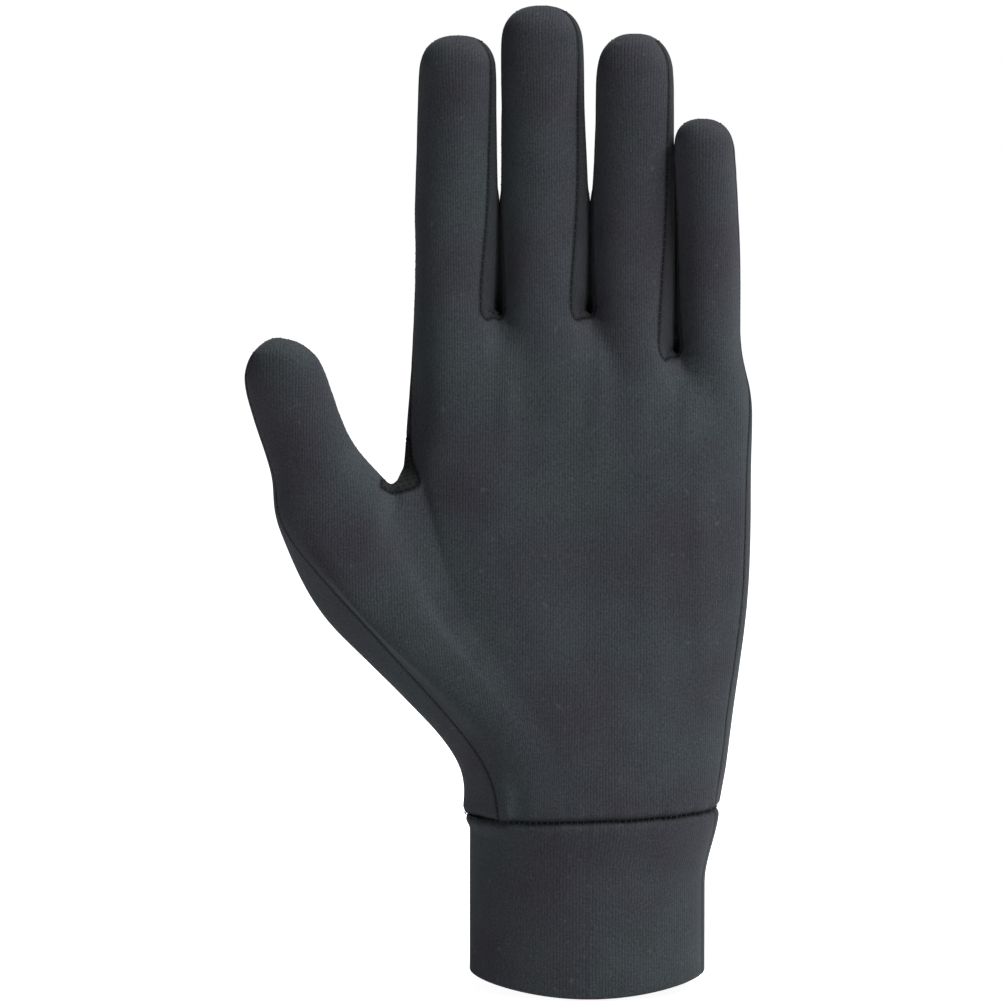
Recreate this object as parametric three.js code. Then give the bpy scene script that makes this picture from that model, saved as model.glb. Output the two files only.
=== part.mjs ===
// A thin knitted glove liner for the left hand, standing up and filled as if worn.
// Millimetres. The palm faces -Y, the fingers point to +Z and the thumb lies towards -X.
// The origin is the middle of the opening at the hem of the cuff.
import * as THREE from "three";

// Cloth
const CLOTH = 1.0;
const CUFF_WALL = 1.8;
const SEAM_GAP = 0.3;

// Cuff, from the hem up to the wrist seam
const CUFF_LENGTH = 44;
const CUFF_WIDTH = 60.6;
const CUFF_THICKNESS = 41;
const CUFF_STEP = 0.9;
const HEM_DIP = 3.5;

// Hand, from the wrist seam up to the forks
const WRIST_WIDTH = 65.5;
const WRIST_THICKNESS = 43;
const WRIST_SHIFT = 1;
const SEAM_RISE = 2;
const PALM_LENGTH = 127;
const PALM_WIDTH = 88.4;
const PALM_THICKNESS = 30;
const PALM_SHIFT = -2.7;
const PALM_HOLLOW = 2;
const KNUCKLE_THICKNESS = 26;

// Fingers, with their lengths from the forks to the tips
const INDEX_LENGTH = 70.5;
const MIDDLE_LENGTH = 78;
const RING_LENGTH = 71;
const LITTLE_LENGTH = 59.7;
const FINGER_DEPTH = 20;
const SLENDER = 0.4;
const FINGER_GAP = 0.7;
const FORK_ROOM = 0.8;
const FORK_CORNER = 1.5;
const FORK_TUCK = 0.3;
const FORK_SADDLE = 0.5;
const FINGER_CURL = 11;
const FINGER_BACKSET = 1;
const LITTLE_FORK_DROP = 10;
const BACK_FORK_DROP = 7.5;

// Thumb, with its fork measured up from the wrist seam
const THUMB_FORK = 82.5;
const THUMB_LENGTH = 46;
const THUMB_BASE = 30;
const THUMB_WIDTH = 20.5;
const THUMB_DEPTH = 21;
const THUMB_WEB = 8.4;
const THUMB_SPREAD = 24.5;
const THUMB_BEND = 13;
const THUMB_AHEAD = 5;
const THUMB_REACH = 16;
const THUMB_TIP = 1.15;
const WEB_RISE = 2;
const WEB_CORNER = 2.5;
const EDGE_RISE = 4;

// Counts of the net's cells across a digit and a web, of the cuff's facets and of the fitting rounds
const DIGIT_CELLS = 3;
const WEB_CELLS = 2;
const CELLS_PER_DIGIT = DIGIT_CELLS + WEB_CELLS;
const CUFF_FACETS = 36;
const FIT_ROUNDS = 24;

const COLOURS = {
  palm_panel: 0x393d40,
  back_panel: 0x33373a,
  fourchette_index_middle: 0x2a2b2f,
  fourchette_middle_ring: 0x2a2b2f,
  fourchette_ring_little: 0x2a2b2f,
  thumb_gusset: 0x1d1e21,
  cuff: 0x35383c,
};
const ROUGHNESS = 0.85;

// Rows up the hand, from the wrist seam to the thumb fork. left and right hold how far that edge has
// risen and how far it has moved out, as shares. form says how far the thumb's side has taken its own
// shape, and fork how deep the valley below the thumb fork still is.
const HAND_ROWS = [
  { left: [0, 0], right: [0, 0], thickness: 1, seam: 0.134, fork: 0, form: 0 },
  { left: [0.151, 0.017], right: [0.12, 0.22], thickness: 0.98, seam: 0.108, fork: 0, form: 0.05 },
  { left: [0.33, 0.213], right: [0.288, 0.44], thickness: 0.93, seam: 0.093, fork: 0, form: 0.2 },
  { left: [0.545, 0.545], right: [0.475, 0.72], thickness: 0.87, seam: 0.087, fork: 0, form: 0.45 },
  { left: [0.749, 0.825], right: [0.7, 0.94], thickness: 0.8, seam: 0.064, fork: 0.2, form: 0.75 },
];

// Places of the net's columns across the wrist, as shares from the thumb side to the little side
const WRIST_SHARES = {
  front: { thumb: 0.134, thumbEnd: 0.3, palm: 0.36, palmEnd: 0.975 },
  back: { thumb: 0.05, thumbEnd: 0.26, palm: 0.31, palmEnd: 0.96 },
};

// The palm's own section at the thumb fork, and a ring on the way from there to the finger forks
const PALM_FRONT = { left: 0.047, right: 0.985 };
const PALM_BACK = { left: 0.05, right: 0.965 };
const MIDWAY = { rise: 0.62, front: 0.008, back: 0.06, bulge: 0.018, form: 0.5, fork: 0 };

// The midway ring dips to the top of the gusset on the thumb's side, by this share of its rise and
// over this many columns.
const GUSSET_DIP = { rise: 0.37, columns: 3 };

// How much lower the cloth lies in each place on the back than on the palm side, as shares of the drop
// at the finger forks
const BACK_DROPS = { thumb: 0.25, thumbWeb: 0.5, palm: 0.4, fingerLeft: 0.35, fingerRight: 0.15 };

// How square the sections are, from 2 for an ellipse upwards, and a digit's power of sine and cosine
const SQUARENESS = { wrist: 2.1, palm: 2.5, knuckles: 2.6 };
const DIGIT_POWER = 0.9;

// How steeply the rows climb out of the thumb's side, and how late the fingers and thumb come forward
const CLIMB_POWER = 5;
const CURL_POWER = 1.8;
const REACH_POWER = 1.3;

// The hollow of the palm: its place across the palm and its spread, as shares of the width
const HOLLOW = { middle: 0.45, spread: 0.22 };

// Rings up a digit. The first ones are shares of its straight part, the others of its rounded tip.
const FINGER_RINGS = [
  { straight: 0.38, tip: 0 },
  { straight: 0.74, tip: 0 },
  { straight: 1, tip: 0 },
  { straight: 1, tip: 0.5 },
  { straight: 1, tip: 0.8 },
];
const THUMB_RINGS = [
  { straight: 0.34, tip: 0 },
  { straight: 0.68, tip: 0 },
  { straight: 1, tip: 0 },
  { straight: 1, tip: 0.5 },
  { straight: 1, tip: 0.8 },
];

// How far a finger has tapered and its depth as a share of that at its base, then the same for the
// thumb, whose width goes from its base to its own.
const FINGER_PROFILE = [
  { along: 0, taper: 0, depth: 1.04 },
  { along: 0.4, taper: 0.2, depth: 0.92 },
  { along: 0.7, taper: 0.6, depth: 0.87 },
  { along: 1, taper: 1, depth: 0.8 },
];
const THUMB_PROFILE = [
  { along: 0, width: 0, depth: 1 },
  { along: 0.3, width: 0.8, depth: 0.9 },
  { along: 0.6, width: 0.95, depth: 0.82 },
  { along: 1, width: 1, depth: 0.72 },
];

// Where the seams and the net's columns lie round a digit, in degrees from the palm side
const LEFT_OF_FINGER = [
  { along: 0, seam: -65, middle: -105, back: -146 },
  { along: 0.38, seam: -88, middle: -117, back: -146 },
  { along: 1, seam: -80, middle: -115, back: -150 },
];
const RIGHT_OF_FINGER = [
  { along: 0, seam: 33, middle: 70, back: 107 },
  { along: 0.38, seam: 45, middle: 76, back: 107 },
  { along: 1, seam: 62, middle: 91, back: 120 },
];
const LEFT_OF_INDEX = [
  { along: 0, seam: -88, middle: -117, back: -146 },
  { along: 1, seam: -82, middle: -115, back: -148 },
];
const RIGHT_OF_LITTLE = [
  { along: 0, seam: 86, middle: 112, back: 140 },
  { along: 1, seam: 78, middle: 108, back: 140 },
];
const LEFT_OF_THUMB = [
  { along: 0, seam: -60, middle: -104, back: -142 },
  { along: 0.4, seam: -68, middle: -108, back: -143 },
  { along: 1, seam: -66, middle: -112, back: -145 },
];
const RIGHT_OF_THUMB = [
  { along: 0, seam: 62, middle: 92, back: 122 },
  { along: 1, seam: 66, middle: 92, back: 122 },
];

// The cuff's profile from the seam down the outside, round the folded hem and up the inside
const CUFF_PROFILE = [
  { down: 0, depth: CUFF_STEP },
  { down: 0.06, depth: 0 },
  { down: 0.35, depth: 0 },
  { down: 0.985, depth: 0 },
  { down: 1, depth: CUFF_WALL / 2 },
  { down: 0.985, depth: CUFF_WALL },
  { down: 0.25, depth: CUFF_WALL },
  { down: 0, depth: CUFF_STEP + CUFF_WALL },
];

// By which share of its length the cuff has narrowed from the wrist's width to its own
const CUFF_NARROWS = { left: 0.1, right: 0.46 };

// A finger's width is a share of the palm's, so that the fingers always fill the palm's upper edge.
const FINGERS = [
  {
    name: "index",
    length: INDEX_LENGTH,
    width: 0.242,
    lean: 0.6,
    taper: 0.88,
    tip: 1,
    left: LEFT_OF_INDEX,
    right: RIGHT_OF_FINGER,
  },
  {
    name: "middle",
    length: MIDDLE_LENGTH,
    width: 0.252,
    lean: -1.2,
    taper: 0.9,
    tip: 1,
    left: LEFT_OF_FINGER,
    right: RIGHT_OF_FINGER,
  },
  {
    name: "ring",
    length: RING_LENGTH,
    width: 0.241,
    lean: -0.1,
    taper: 0.885,
    tip: 1.25,
    left: LEFT_OF_FINGER,
    right: RIGHT_OF_FINGER,
  },
  {
    name: "little",
    length: LITTLE_LENGTH,
    width: 0.18,
    lean: -2.6,
    taper: 0.93,
    tip: 1.05,
    left: LEFT_OF_FINGER,
    right: RIGHT_OF_LITTLE,
  },
];

const mix = THREE.MathUtils.lerp;
const point = (x, y, z) => new THREE.Vector3(x, y, z);
const signedPower = (value, power) => Math.sign(value) * Math.abs(value) ** power;

// The value of one named column of a table at a place along it, on a smooth curve through the rows.
function along(table, column, place) {
  const last = table.length - 1;
  let row = 0;
  while (row < last - 1 && place > table[row + 1].along) row += 1;
  const [from, to] = [table[row], table[row + 1]];
  const slope = (i) => {
    const [a, b] = [table[Math.max(i - 1, 0)], table[Math.min(i + 1, last)]];
    return (b[column] - a[column]) / (b.along - a.along);
  };
  const span = to.along - from.along;
  const t = THREE.MathUtils.clamp((place - from.along) / span, 0, 1);
  const rise = t * t * (3 - 2 * t);
  const leave = t * (1 - t) * (1 - t) * span * slope(row);
  const arrive = t * t * (t - 1) * span * slope(row + 1);
  return mix(from[column], to[column], rise) + leave + arrive;
}

// How far a flattened round section stands out at a share across it, from 0 at its edges to 1.
function roundness(share, power) {
  const fromMiddle = Math.min(Math.abs(2 * share - 1), 1);
  return (1 - fromMiddle ** power) ** (1 / power);
}

// A digit is a bent tube with a round tip. Its angle is 0 on the palm side and positive to the right.
class Digit {
  constructor(sizes) {
    Object.assign(this, sizes);
  }

  // Half the width or depth at a height, drawn in to nothing at the top of the tip.
  rounded(half, height) {
    const intoTip = THREE.MathUtils.clamp((height - this.length) / this.tipLength + 1, 0, 1);
    return half * Math.sqrt(1 - intoTip * intoTip);
  }

  at(degrees, height) {
    const share = THREE.MathUtils.clamp(height / this.length, 0, 1);
    const angle = THREE.MathUtils.degToRad(degrees);
    const halfWidth = this.rounded(this.widthAt(share) / 2, height);
    const halfDepth = this.rounded(this.depthAt(share) / 2, height);
    return this.centre(height)
      .addScaledVector(this.across(share), halfWidth * signedPower(Math.sin(angle), DIGIT_POWER))
      .add(point(0, -halfDepth * signedPower(Math.cos(angle), DIGIT_POWER), 0));
  }

  // The ten angles of a ring: four on the palm side, the right side, four on the back, the left side.
  angles(share) {
    const [start, end] = [along(this.left, "seam", share), along(this.right, "seam", share)];
    const backStart = along(this.right, "back", share);
    const backEnd = along(this.left, "back", share) + 360;
    const spread = (a, b) =>
      Array.from({ length: DIGIT_CELLS + 1 }, (_, i) => mix(a, b, i / DIGIT_CELLS));
    return {
      front: spread(start, end),
      right: along(this.right, "middle", share),
      back: spread(backEnd, backStart),
      left: along(this.left, "middle", share),
    };
  }
}

const forkHeight = CUFF_LENGTH + PALM_LENGTH;
const thumbForkHeight = CUFF_LENGTH + THUMB_FORK;
const fingerWidths = FINGERS.map((finger) => finger.width * PALM_WIDTH);
const widestFinger = Math.max(...fingerWidths);
const fingersWidth =
  fingerWidths.reduce((sum, width) => sum + width, 0) + (FINGERS.length - 1) * FINGER_GAP;
const fingersLeft = PALM_SHIFT - fingersWidth / 2;

// The fork between the ring and little fingers lies lower than the other two.
const forkHeights = [forkHeight, forkHeight, forkHeight - LITTLE_FORK_DROP];

function makeFinger(index) {
  const { length, lean, taper, tip, left, right } = FINGERS[index];
  const width = fingerWidths[index];
  const before = fingerWidths.slice(0, index).reduce((sum, w) => sum + w + FINGER_GAP, 0);
  const x = fingersLeft + before + width / 2;
  const base = index === FINGERS.length - 1 ? forkHeights[2] : forkHeight;
  return new Digit({
    length,
    left,
    right,
    tipLength: (tip * width * taper) / 2,
    widthAt: (share) => width * mix(1, taper, along(FINGER_PROFILE, "taper", share)),
    depthAt: (share) =>
      FINGER_DEPTH * along(FINGER_PROFILE, "depth", share) * mix(1, width / widestFinger, SLENDER),
    across: () => point(1, 0, 0),
    centre: (height) => {
      const share = height / length;
      const up = Math.max(share, 0);
      const ahead = FINGER_BACKSET + FINGER_CURL * up ** CURL_POWER;
      return point(x + lean * up * up, -ahead, base + height);
    },
    keepsBase: true,
  });
}

// The thumb leaves the hand at a slant, bends back towards the fingers and reaches ahead of the palm.
function makeThumb() {
  const spread = THREE.MathUtils.degToRad(THUMB_SPREAD);
  const bend = THREE.MathUtils.degToRad(THUMB_BEND);
  const across = (share) => {
    const tilt = spread - bend * share;
    return point(Math.cos(tilt), 0, Math.sin(tilt));
  };
  const innerEdge = point(palmLeft - THUMB_WEB / 2, -THUMB_AHEAD, thumbForkHeight + WEB_RISE);
  const base = innerEdge.addScaledVector(across(0), -THUMB_BASE / 2);
  return new Digit({
    length: THUMB_LENGTH,
    left: LEFT_OF_THUMB,
    right: RIGHT_OF_THUMB,
    tipLength: (THUMB_TIP * THUMB_WIDTH) / 2,
    widthAt: (share) => mix(THUMB_BASE, THUMB_WIDTH, along(THUMB_PROFILE, "width", share)),
    depthAt: (share) => THUMB_DEPTH * along(THUMB_PROFILE, "depth", share),
    across,
    centre: (height) => {
      const share = height / THUMB_LENGTH;
      const tilt = spread - (bend * share) / 2;
      const ahead = THUMB_REACH * Math.max(share, 0) ** REACH_POWER;
      return point(-Math.sin(tilt) * height, -ahead, Math.cos(tilt) * height).add(base);
    },
    keepsBase: false,
  });
}

const palmLeft = PALM_SHIFT - PALM_WIDTH / 2;
const palmRight = PALM_SHIFT + PALM_WIDTH / 2;
const fingers = FINGERS.map((_, index) => makeFinger(index));
const thumb = makeThumb();

// The net holds the points and four-sided cells of the whole outer skin, and each cell's panel.
class Net {
  constructor() {
    this.points = [];
    this.cells = [];
    this.owners = [];
  }

  add(vector) {
    this.points.push(vector);
    return this.points.length - 1;
  }

  cell(owner, ...corners) {
    this.cells.push(corners);
    this.owners.push(owner);
  }

  // Cells of one panel between two rows of points.
  strip(owner, lower, upper) {
    for (let i = 0; i + 1 < lower.length; i += 1)
      this.cell(owner, lower[i], lower[i + 1], upper[i + 1], upper[i]);
  }
}

// The columns of a ring's palm side that digit number i covers, and of the web to its right.
const digitColumns = (i) => [i * CELLS_PER_DIGIT, i * CELLS_PER_DIGIT + DIGIT_CELLS];
const webColumns = (i) => [i * CELLS_PER_DIGIT + DIGIT_CELLS, (i + 1) * CELLS_PER_DIGIT];
const LAST_COLUMN = digitColumns(FINGERS.length)[1];
const FIRST_PALM_COLUMN = CELLS_PER_DIGIT;

// The points of a finger's base ring: its seams meet the forks, which are lower on the back.
function fingerBase(index) {
  const finger = fingers[index];
  const start = finger.centre(0).z;
  const angles = finger.angles(0);
  const leftFork = forkHeights[Math.max(index - 1, 0)];
  const rightFork = forkHeights[Math.min(index, 2)];
  const level = (i, drop) =>
    mix(leftFork, rightFork, i / DIGIT_CELLS) + FORK_CORNER - drop * BACK_FORK_DROP - start;
  const right = finger.at(angles.right, level(DIGIT_CELLS, BACK_DROPS.fingerRight));
  const left = finger.at(angles.left, level(0, BACK_DROPS.fingerLeft));
  if (index > 0) left.x += FORK_ROOM;
  if (index < FINGERS.length - 1) right.x -= FORK_ROOM;
  return {
    front: angles.front.map((angle, i) => finger.at(angle, level(i, 0))),
    back: angles.back.map((angle, i) => finger.at(angle, level(i, 1))),
    right,
    left,
  };
}

// The ring through the finger forks, from the index finger to the little finger.
function knuckleRing() {
  const ring = { front: [], back: [] };
  fingers.forEach((finger, index) => {
    const base = fingerBase(index);
    const [first] = digitColumns(index + 1);
    for (let i = 0; i <= DIGIT_CELLS; i += 1) {
      ring.front[first + i] = base.front[i];
      ring.back[first + i] = base.back[i];
    }
    if (index === 0) ring.left = base.left;
    if (index === FINGERS.length - 1) ring.right = base.right;
  });
  forkHeights.forEach((height, index) => {
    const [from, to] = webColumns(index + 1);
    const middle = (side) => ring[side][from].clone().lerp(ring[side][to], 0.5);
    const backHeight = height - BACK_FORK_DROP;
    ring.front[from + 1] = middle("front").add(point(0, FORK_TUCK, 0)).setZ(height - 2 * FORK_TUCK);
    ring.back[from + 1] = middle("back").add(point(0, -FORK_TUCK, 0)).setZ(backHeight - 3 * FORK_TUCK);
  });
  return ring;
}

// How far forward a column lies when the valley of the web beside it is filled up to a share of its depth.
function valleyPlace(ring, side, column, depth) {
  const web = Math.round((column - DIGIT_CELLS - 1) / CELLS_PER_DIGIT);
  const [from, to] = webColumns(web).map((edge, i) => ring[side][edge + (i ? 1 : -1)]);
  const own = ring[side][column];
  if (!from || !to || own.x <= from.x || own.x >= to.x) return own.y;
  const filled = mix(from.y, to.y, (own.x - from.x) / (to.x - from.x));
  return mix(filled, own.y, depth);
}

// The height of a row at a share across the hand: it climbs steeply out of the thumb side.
const rowHeight = (left, right, share) => mix(left, right, 1 - (1 - share) ** CLIMB_POWER);

// How far the hollow of the palm draws the cloth back at a share across the palm.
const hollowAt = (share) => PALM_HOLLOW * Math.exp(-(((share - HOLLOW.middle) / HOLLOW.spread) ** 2));

// The ring through the thumb fork: the base of the thumb, the web and the palm.
function forkRing(knuckles) {
  const ring = { front: [], back: [] };
  const angles = thumb.angles(0);
  for (let i = 0; i <= DIGIT_CELLS; i += 1) {
    ring.front[i] = thumb.at(angles.front[i], 0);
    const drop = (BACK_DROPS.thumb * BACK_FORK_DROP * i) / DIGIT_CELLS;
    ring.back[i] = thumb.at(angles.back[i], -drop);
  }
  ring.left = thumb.at(angles.left, 0);
  const sides = { front: [PALM_FRONT, -1], back: [PALM_BACK, 1] };
  Object.entries(sides).forEach(([side, [edges, facing]]) => {
    const from = knuckles[side][FIRST_PALM_COLUMN].x;
    const to = knuckles[side][LAST_COLUMN].x;
    for (let column = FIRST_PALM_COLUMN; column <= LAST_COLUMN; column += 1) {
      const share = mix(edges.left, edges.right, (knuckles[side][column].x - from) / (to - from));
      const hollow = facing < 0 ? hollowAt(share) : 0;
      const y = (facing * PALM_THICKNESS * roundness(share, SQUARENESS.palm)) / 2 + hollow;
      const drop = facing > 0 ? BACK_DROPS.palm * BACK_FORK_DROP * (1 - share) : 0;
      const z = thumbForkHeight + rowHeight(WEB_RISE, EDGE_RISE, share) - drop;
      ring[side][column] = point(mix(palmLeft, palmRight, share), y, z);
    }
  });
  ring.right = point(palmRight, 0, thumbForkHeight + EDGE_RISE);
  const [from, to] = webColumns(0);
  const middle = (side) => ring[side][from].clone().lerp(ring[side][to], 0.5);
  ring.front[from + 1] = middle("front").setZ(thumbForkHeight);
  ring.back[from + 1] = middle("back").setZ(thumbForkHeight - BACK_DROPS.thumbWeb * BACK_FORK_DROP);
  return ring;
}

// The shares across the wrist at which the columns of one side start.
function wristShares({ thumb: first, thumbEnd, palm, palmEnd }) {
  return Array.from({ length: LAST_COLUMN + 1 }, (_, column) => {
    if (column <= DIGIT_CELLS) return mix(first, thumbEnd, column / DIGIT_CELLS);
    if (column < CELLS_PER_DIGIT) return mix(thumbEnd, palm, (column - DIGIT_CELLS) / WEB_CELLS);
    return mix(palm, palmEnd, (column - CELLS_PER_DIGIT) / (LAST_COLUMN - CELLS_PER_DIGIT));
  });
}

// The tilted plane of the wrist seam, higher on the little finger's side.
const seamHeight = (x) => CUFF_LENGTH + (SEAM_RISE * (x - WRIST_SHIFT)) / WRIST_WIDTH;

// A ring between the wrist seam and the thumb fork.
function handRing(row, fork) {
  const outer = fork.left;
  const wristLeft = WRIST_SHIFT - WRIST_WIDTH / 2;
  const wristRight = WRIST_SHIFT + WRIST_WIDTH / 2;
  const [leftRise, leftOut] = row.left;
  const [rightRise, rightOut] = row.right;
  const left = mix(wristLeft, outer.x, leftOut);
  const right = mix(wristRight, palmRight, rightOut);
  const leftHeight = mix(seamHeight(wristLeft), outer.z, leftRise);
  const rightHeight = mix(seamHeight(wristRight), fork.right.z, rightRise);
  const half = (WRIST_THICKNESS * row.thickness) / 2;
  const squareness = mix(SQUARENESS.wrist, SQUARENESS.palm, row.form);
  const place = (side, column, facing) => {
    const top = fork[side][column];
    const forkShare = (top.x - outer.x) / (palmRight - outer.x);
    const start = wristShares(WRIST_SHARES[side])[column];
    const seam = side === "front" && column === 0;
    const share = seam ? row.seam : mix(start, forkShare, leftOut);
    const lift = top.z - rowHeight(outer.z, fork.right.z, forkShare);
    const valley = valleyPlace(fork, side, column, row.fork);
    const flat = mix(leftHeight, rightHeight, share);
    const climbing = rowHeight(leftHeight, rightHeight, share);
    return point(
      mix(left, right, share),
      mix(facing * half * roundness(share, squareness), valley, row.form),
      mix(flat, climbing, row.form) + lift * row.form,
    );
  };
  const columns = Array.from({ length: LAST_COLUMN + 1 }, (_, column) => column);
  return {
    front: columns.map((column) => place("front", column, -1)),
    back: columns.map((column) => place("back", column, 1)),
    left: point(left, outer.y * row.form, leftHeight),
    right: point(right, 0, rightHeight),
  };
}

// The ring between the thumb fork and the finger forks.
function midwayRing(fork, knuckles) {
  const riseAt = (column) => {
    const away = (column - FIRST_PALM_COLUMN) / GUSSET_DIP.columns;
    return MIDWAY.rise - GUSSET_DIP.rise * Math.exp(-away * away);
  };
  const place = (side, column, facing) => {
    const rise = riseAt(column);
    const left = mix(palmLeft, knuckles.left.x, rise);
    const right = mix(palmRight, knuckles.right.x, rise) + MIDWAY.bulge * PALM_WIDTH;
    const [low, high] = [fork[side][column], knuckles[side][column]];
    const lowShare = (low.x - palmLeft) / (palmRight - palmLeft);
    const highShare = (high.x - knuckles.left.x) / (knuckles.right.x - knuckles.left.x);
    const edge = column === FIRST_PALM_COLUMN;
    const share = edge ? MIDWAY[side] : mix(lowShare, highShare, rise);
    const hollow = facing < 0 ? hollowAt(share) * (1 - rise) : 0;
    const thickness = mix(PALM_THICKNESS, KNUCKLE_THICKNESS, rise / MIDWAY.rise);
    const own = (facing * thickness * roundness(share, SQUARENESS.knuckles)) / 2 + hollow;
    const y = mix(own, valleyPlace(knuckles, side, column, MIDWAY.fork), MIDWAY.form);
    return point(mix(left, right, share), y, mix(low.z, high.z, rise));
  };
  const ring = { front: [], back: [] };
  for (let column = FIRST_PALM_COLUMN; column <= LAST_COLUMN; column += 1) {
    ring.front[column] = place("front", column, -1);
    ring.back[column] = place("back", column, 1);
  }
  const webRow = thumbForkHeight + WEB_RISE;
  const [low, high] = [riseAt(FIRST_PALM_COLUMN), MIDWAY.rise];
  ring.left = point(mix(palmLeft, knuckles.left.x, low), 0, mix(webRow, knuckles.left.z, low));
  ring.right = fork.right.clone().lerp(knuckles.right, high).setY(0);
  ring.right.x += MIDWAY.bulge * PALM_WIDTH;
  return ring;
}

// Adds a ring's points to the net and gives their numbers in the same places.
function placed(net, ring) {
  const numbers = { front: [], back: [] };
  ["front", "back"].forEach((side) => {
    ring[side].forEach((vector, column) => {
      numbers[side][column] = net.add(vector);
    });
  });
  numbers.left = net.add(ring.left);
  numbers.right = net.add(ring.right);
  return numbers;
}

// Cells between two rings that both run from the same first column round to the last one.
function band(net, lower, upper, first, last, sides) {
  const columns = Array.from({ length: last - first + 1 }, (_, i) => first + i);
  const row = (ring, side) => columns.map((column) => ring[side][column]);
  const rightOf = (ring) => [ring.front[last], ring.right, ring.back[last]];
  const leftOf = (ring) => [ring.back[first], ring.left, ring.front[first]];
  net.strip("palm_panel", row(lower, "front"), row(upper, "front"));
  const backOf = (ring) => row(ring, "back").reverse();
  net.strip("back_panel", backOf(lower), backOf(upper));
  addSide(net, sides.right, rightOf(lower), rightOf(upper));
  addSide(net, sides.left, leftOf(lower), leftOf(upper));
}

// The two cells of a side, which may belong to two panels.
function addSide(net, owners, lower, upper) {
  owners.forEach((owner, i) => {
    net.cell(owner, lower[i], lower[i + 1], upper[i + 1], upper[i]);
  });
}

// A digit's tube above its base ring, and the cap over its tip, half of it palm and half of it back.
function addDigit(net, digit, base, rings, sides) {
  let lower = base;
  const straight = digit.length - digit.tipLength;
  rings.forEach((ring) => {
    const height = straight * ring.straight + digit.tipLength * ring.tip;
    const angles = digit.angles(height / digit.length);
    const left = 1 - height / digit.length;
    // A finger's points keep some of the height at which its fork starts them.
    const place = (degrees, from) => {
      const start = net.points[from].z - digit.centre(0).z;
      return net.add(digit.at(degrees, height + (digit.keepsBase ? start * left * left : 0)));
    };
    const upper = {
      front: angles.front.map((angle, i) => place(angle, base.front[i])),
      back: angles.back.map((angle, i) => place(angle, base.back[i])),
      right: place(angles.right, base.right),
      left: place(angles.left, base.left),
    };
    band(net, lower, upper, 0, DIGIT_CELLS, sides);
    lower = upper;
  });
  const top = digit.centre(digit.length);
  const inner = lower.front.slice(1, -1).map((front, i) => {
    const across = net.points[front].clone().lerp(net.points[lower.back[i + 1]], 0.5);
    return net.add(across.setZ(top.z));
  });
  const middle = [lower.left, ...inner, lower.right];
  net.strip("palm_panel", lower.front, middle);
  net.strip("back_panel", middle, lower.back);
}

// The saddle of cloth in a fork, between the sides of the two digits and the two edges of the web.
function addSaddle(net, owner, ring, index, leftSide, rightSide, height) {
  const [from, to] = webColumns(index);
  const middle = net.points[leftSide].clone().lerp(net.points[rightSide], 0.5).setZ(height);
  const across = [leftSide, net.add(middle), rightSide];
  net.strip(owner, ring.front.slice(from, to + 1), across);
  net.strip(owner, across, ring.back.slice(from, to + 1));
}

// The part of a ring under one digit, with the middles of its sides.
function underDigit(ring, index, left, right) {
  const [from, to] = digitColumns(index);
  return { front: ring.front.slice(from, to + 1), back: ring.back.slice(from, to + 1), left, right };
}

function buildNet() {
  const net = new Net();
  const knuckles = knuckleRing();
  const fork = forkRing(knuckles);
  const outside = { left: ["back_panel", "back_panel"], right: ["back_panel", "back_panel"] };

  const rows = HAND_ROWS.map((row) => placed(net, handRing(row, fork)));
  const forkNumbers = placed(net, fork);
  rows.push(forkNumbers);
  rows.slice(1).forEach((upper, i) => band(net, rows[i], upper, 0, LAST_COLUMN, outside));

  const sideHeight = thumbForkHeight + WEB_RISE + WEB_CORNER;
  const palmSide = net.add(point(palmLeft - WEB_CORNER / 4, 0, sideHeight));
  const palmStart = { ...forkNumbers, left: palmSide };
  const midway = placed(net, midwayRing(fork, knuckles));
  const top = placed(net, knuckles);
  const gussetSide = { left: ["thumb_gusset", "thumb_gusset"], right: outside.right };
  band(net, palmStart, midway, FIRST_PALM_COLUMN, LAST_COLUMN, gussetSide);
  band(net, midway, top, FIRST_PALM_COLUMN, LAST_COLUMN, outside);

  const thumbInside = net.add(thumb.at(thumb.angles(0).right, 0));
  const thumbSaddle = thumbForkHeight + FORK_SADDLE;
  addSaddle(net, "thumb_gusset", forkNumbers, 0, thumbInside, palmSide, thumbSaddle);
  const thumbBase = underDigit(forkNumbers, 0, forkNumbers.left, thumbInside);
  const thumbSides = { left: outside.left, right: ["palm_panel", "back_panel"] };
  addDigit(net, thumb, thumbBase, THUMB_RINGS, thumbSides);

  const fourchettes = forkHeights.map(
    (_, i) => "fourchette_" + FINGERS[i].name + "_" + FINGERS[i + 1].name,
  );
  const bases = fingers.map((_, index) => {
    const base = fingerBase(index);
    const left = index === 0 ? top.left : net.add(base.left);
    const right = index === FINGERS.length - 1 ? top.right : net.add(base.right);
    return underDigit(top, index + 1, left, right);
  });
  forkHeights.forEach((height, i) => {
    const [left, right] = [bases[i].right, bases[i + 1].left];
    addSaddle(net, fourchettes[i], top, i + 1, left, right, height - FORK_SADDLE);
  });
  fingers.forEach((finger, index) => {
    const [left, right] = [fourchettes[index - 1], fourchettes[index]];
    const sides = {
      left: left ? [left, left] : outside.left,
      right: right ? [right, right] : outside.right,
    };
    addDigit(net, finger, bases[index], FINGER_RINGS, sides);
  });
  return net;
}

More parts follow.
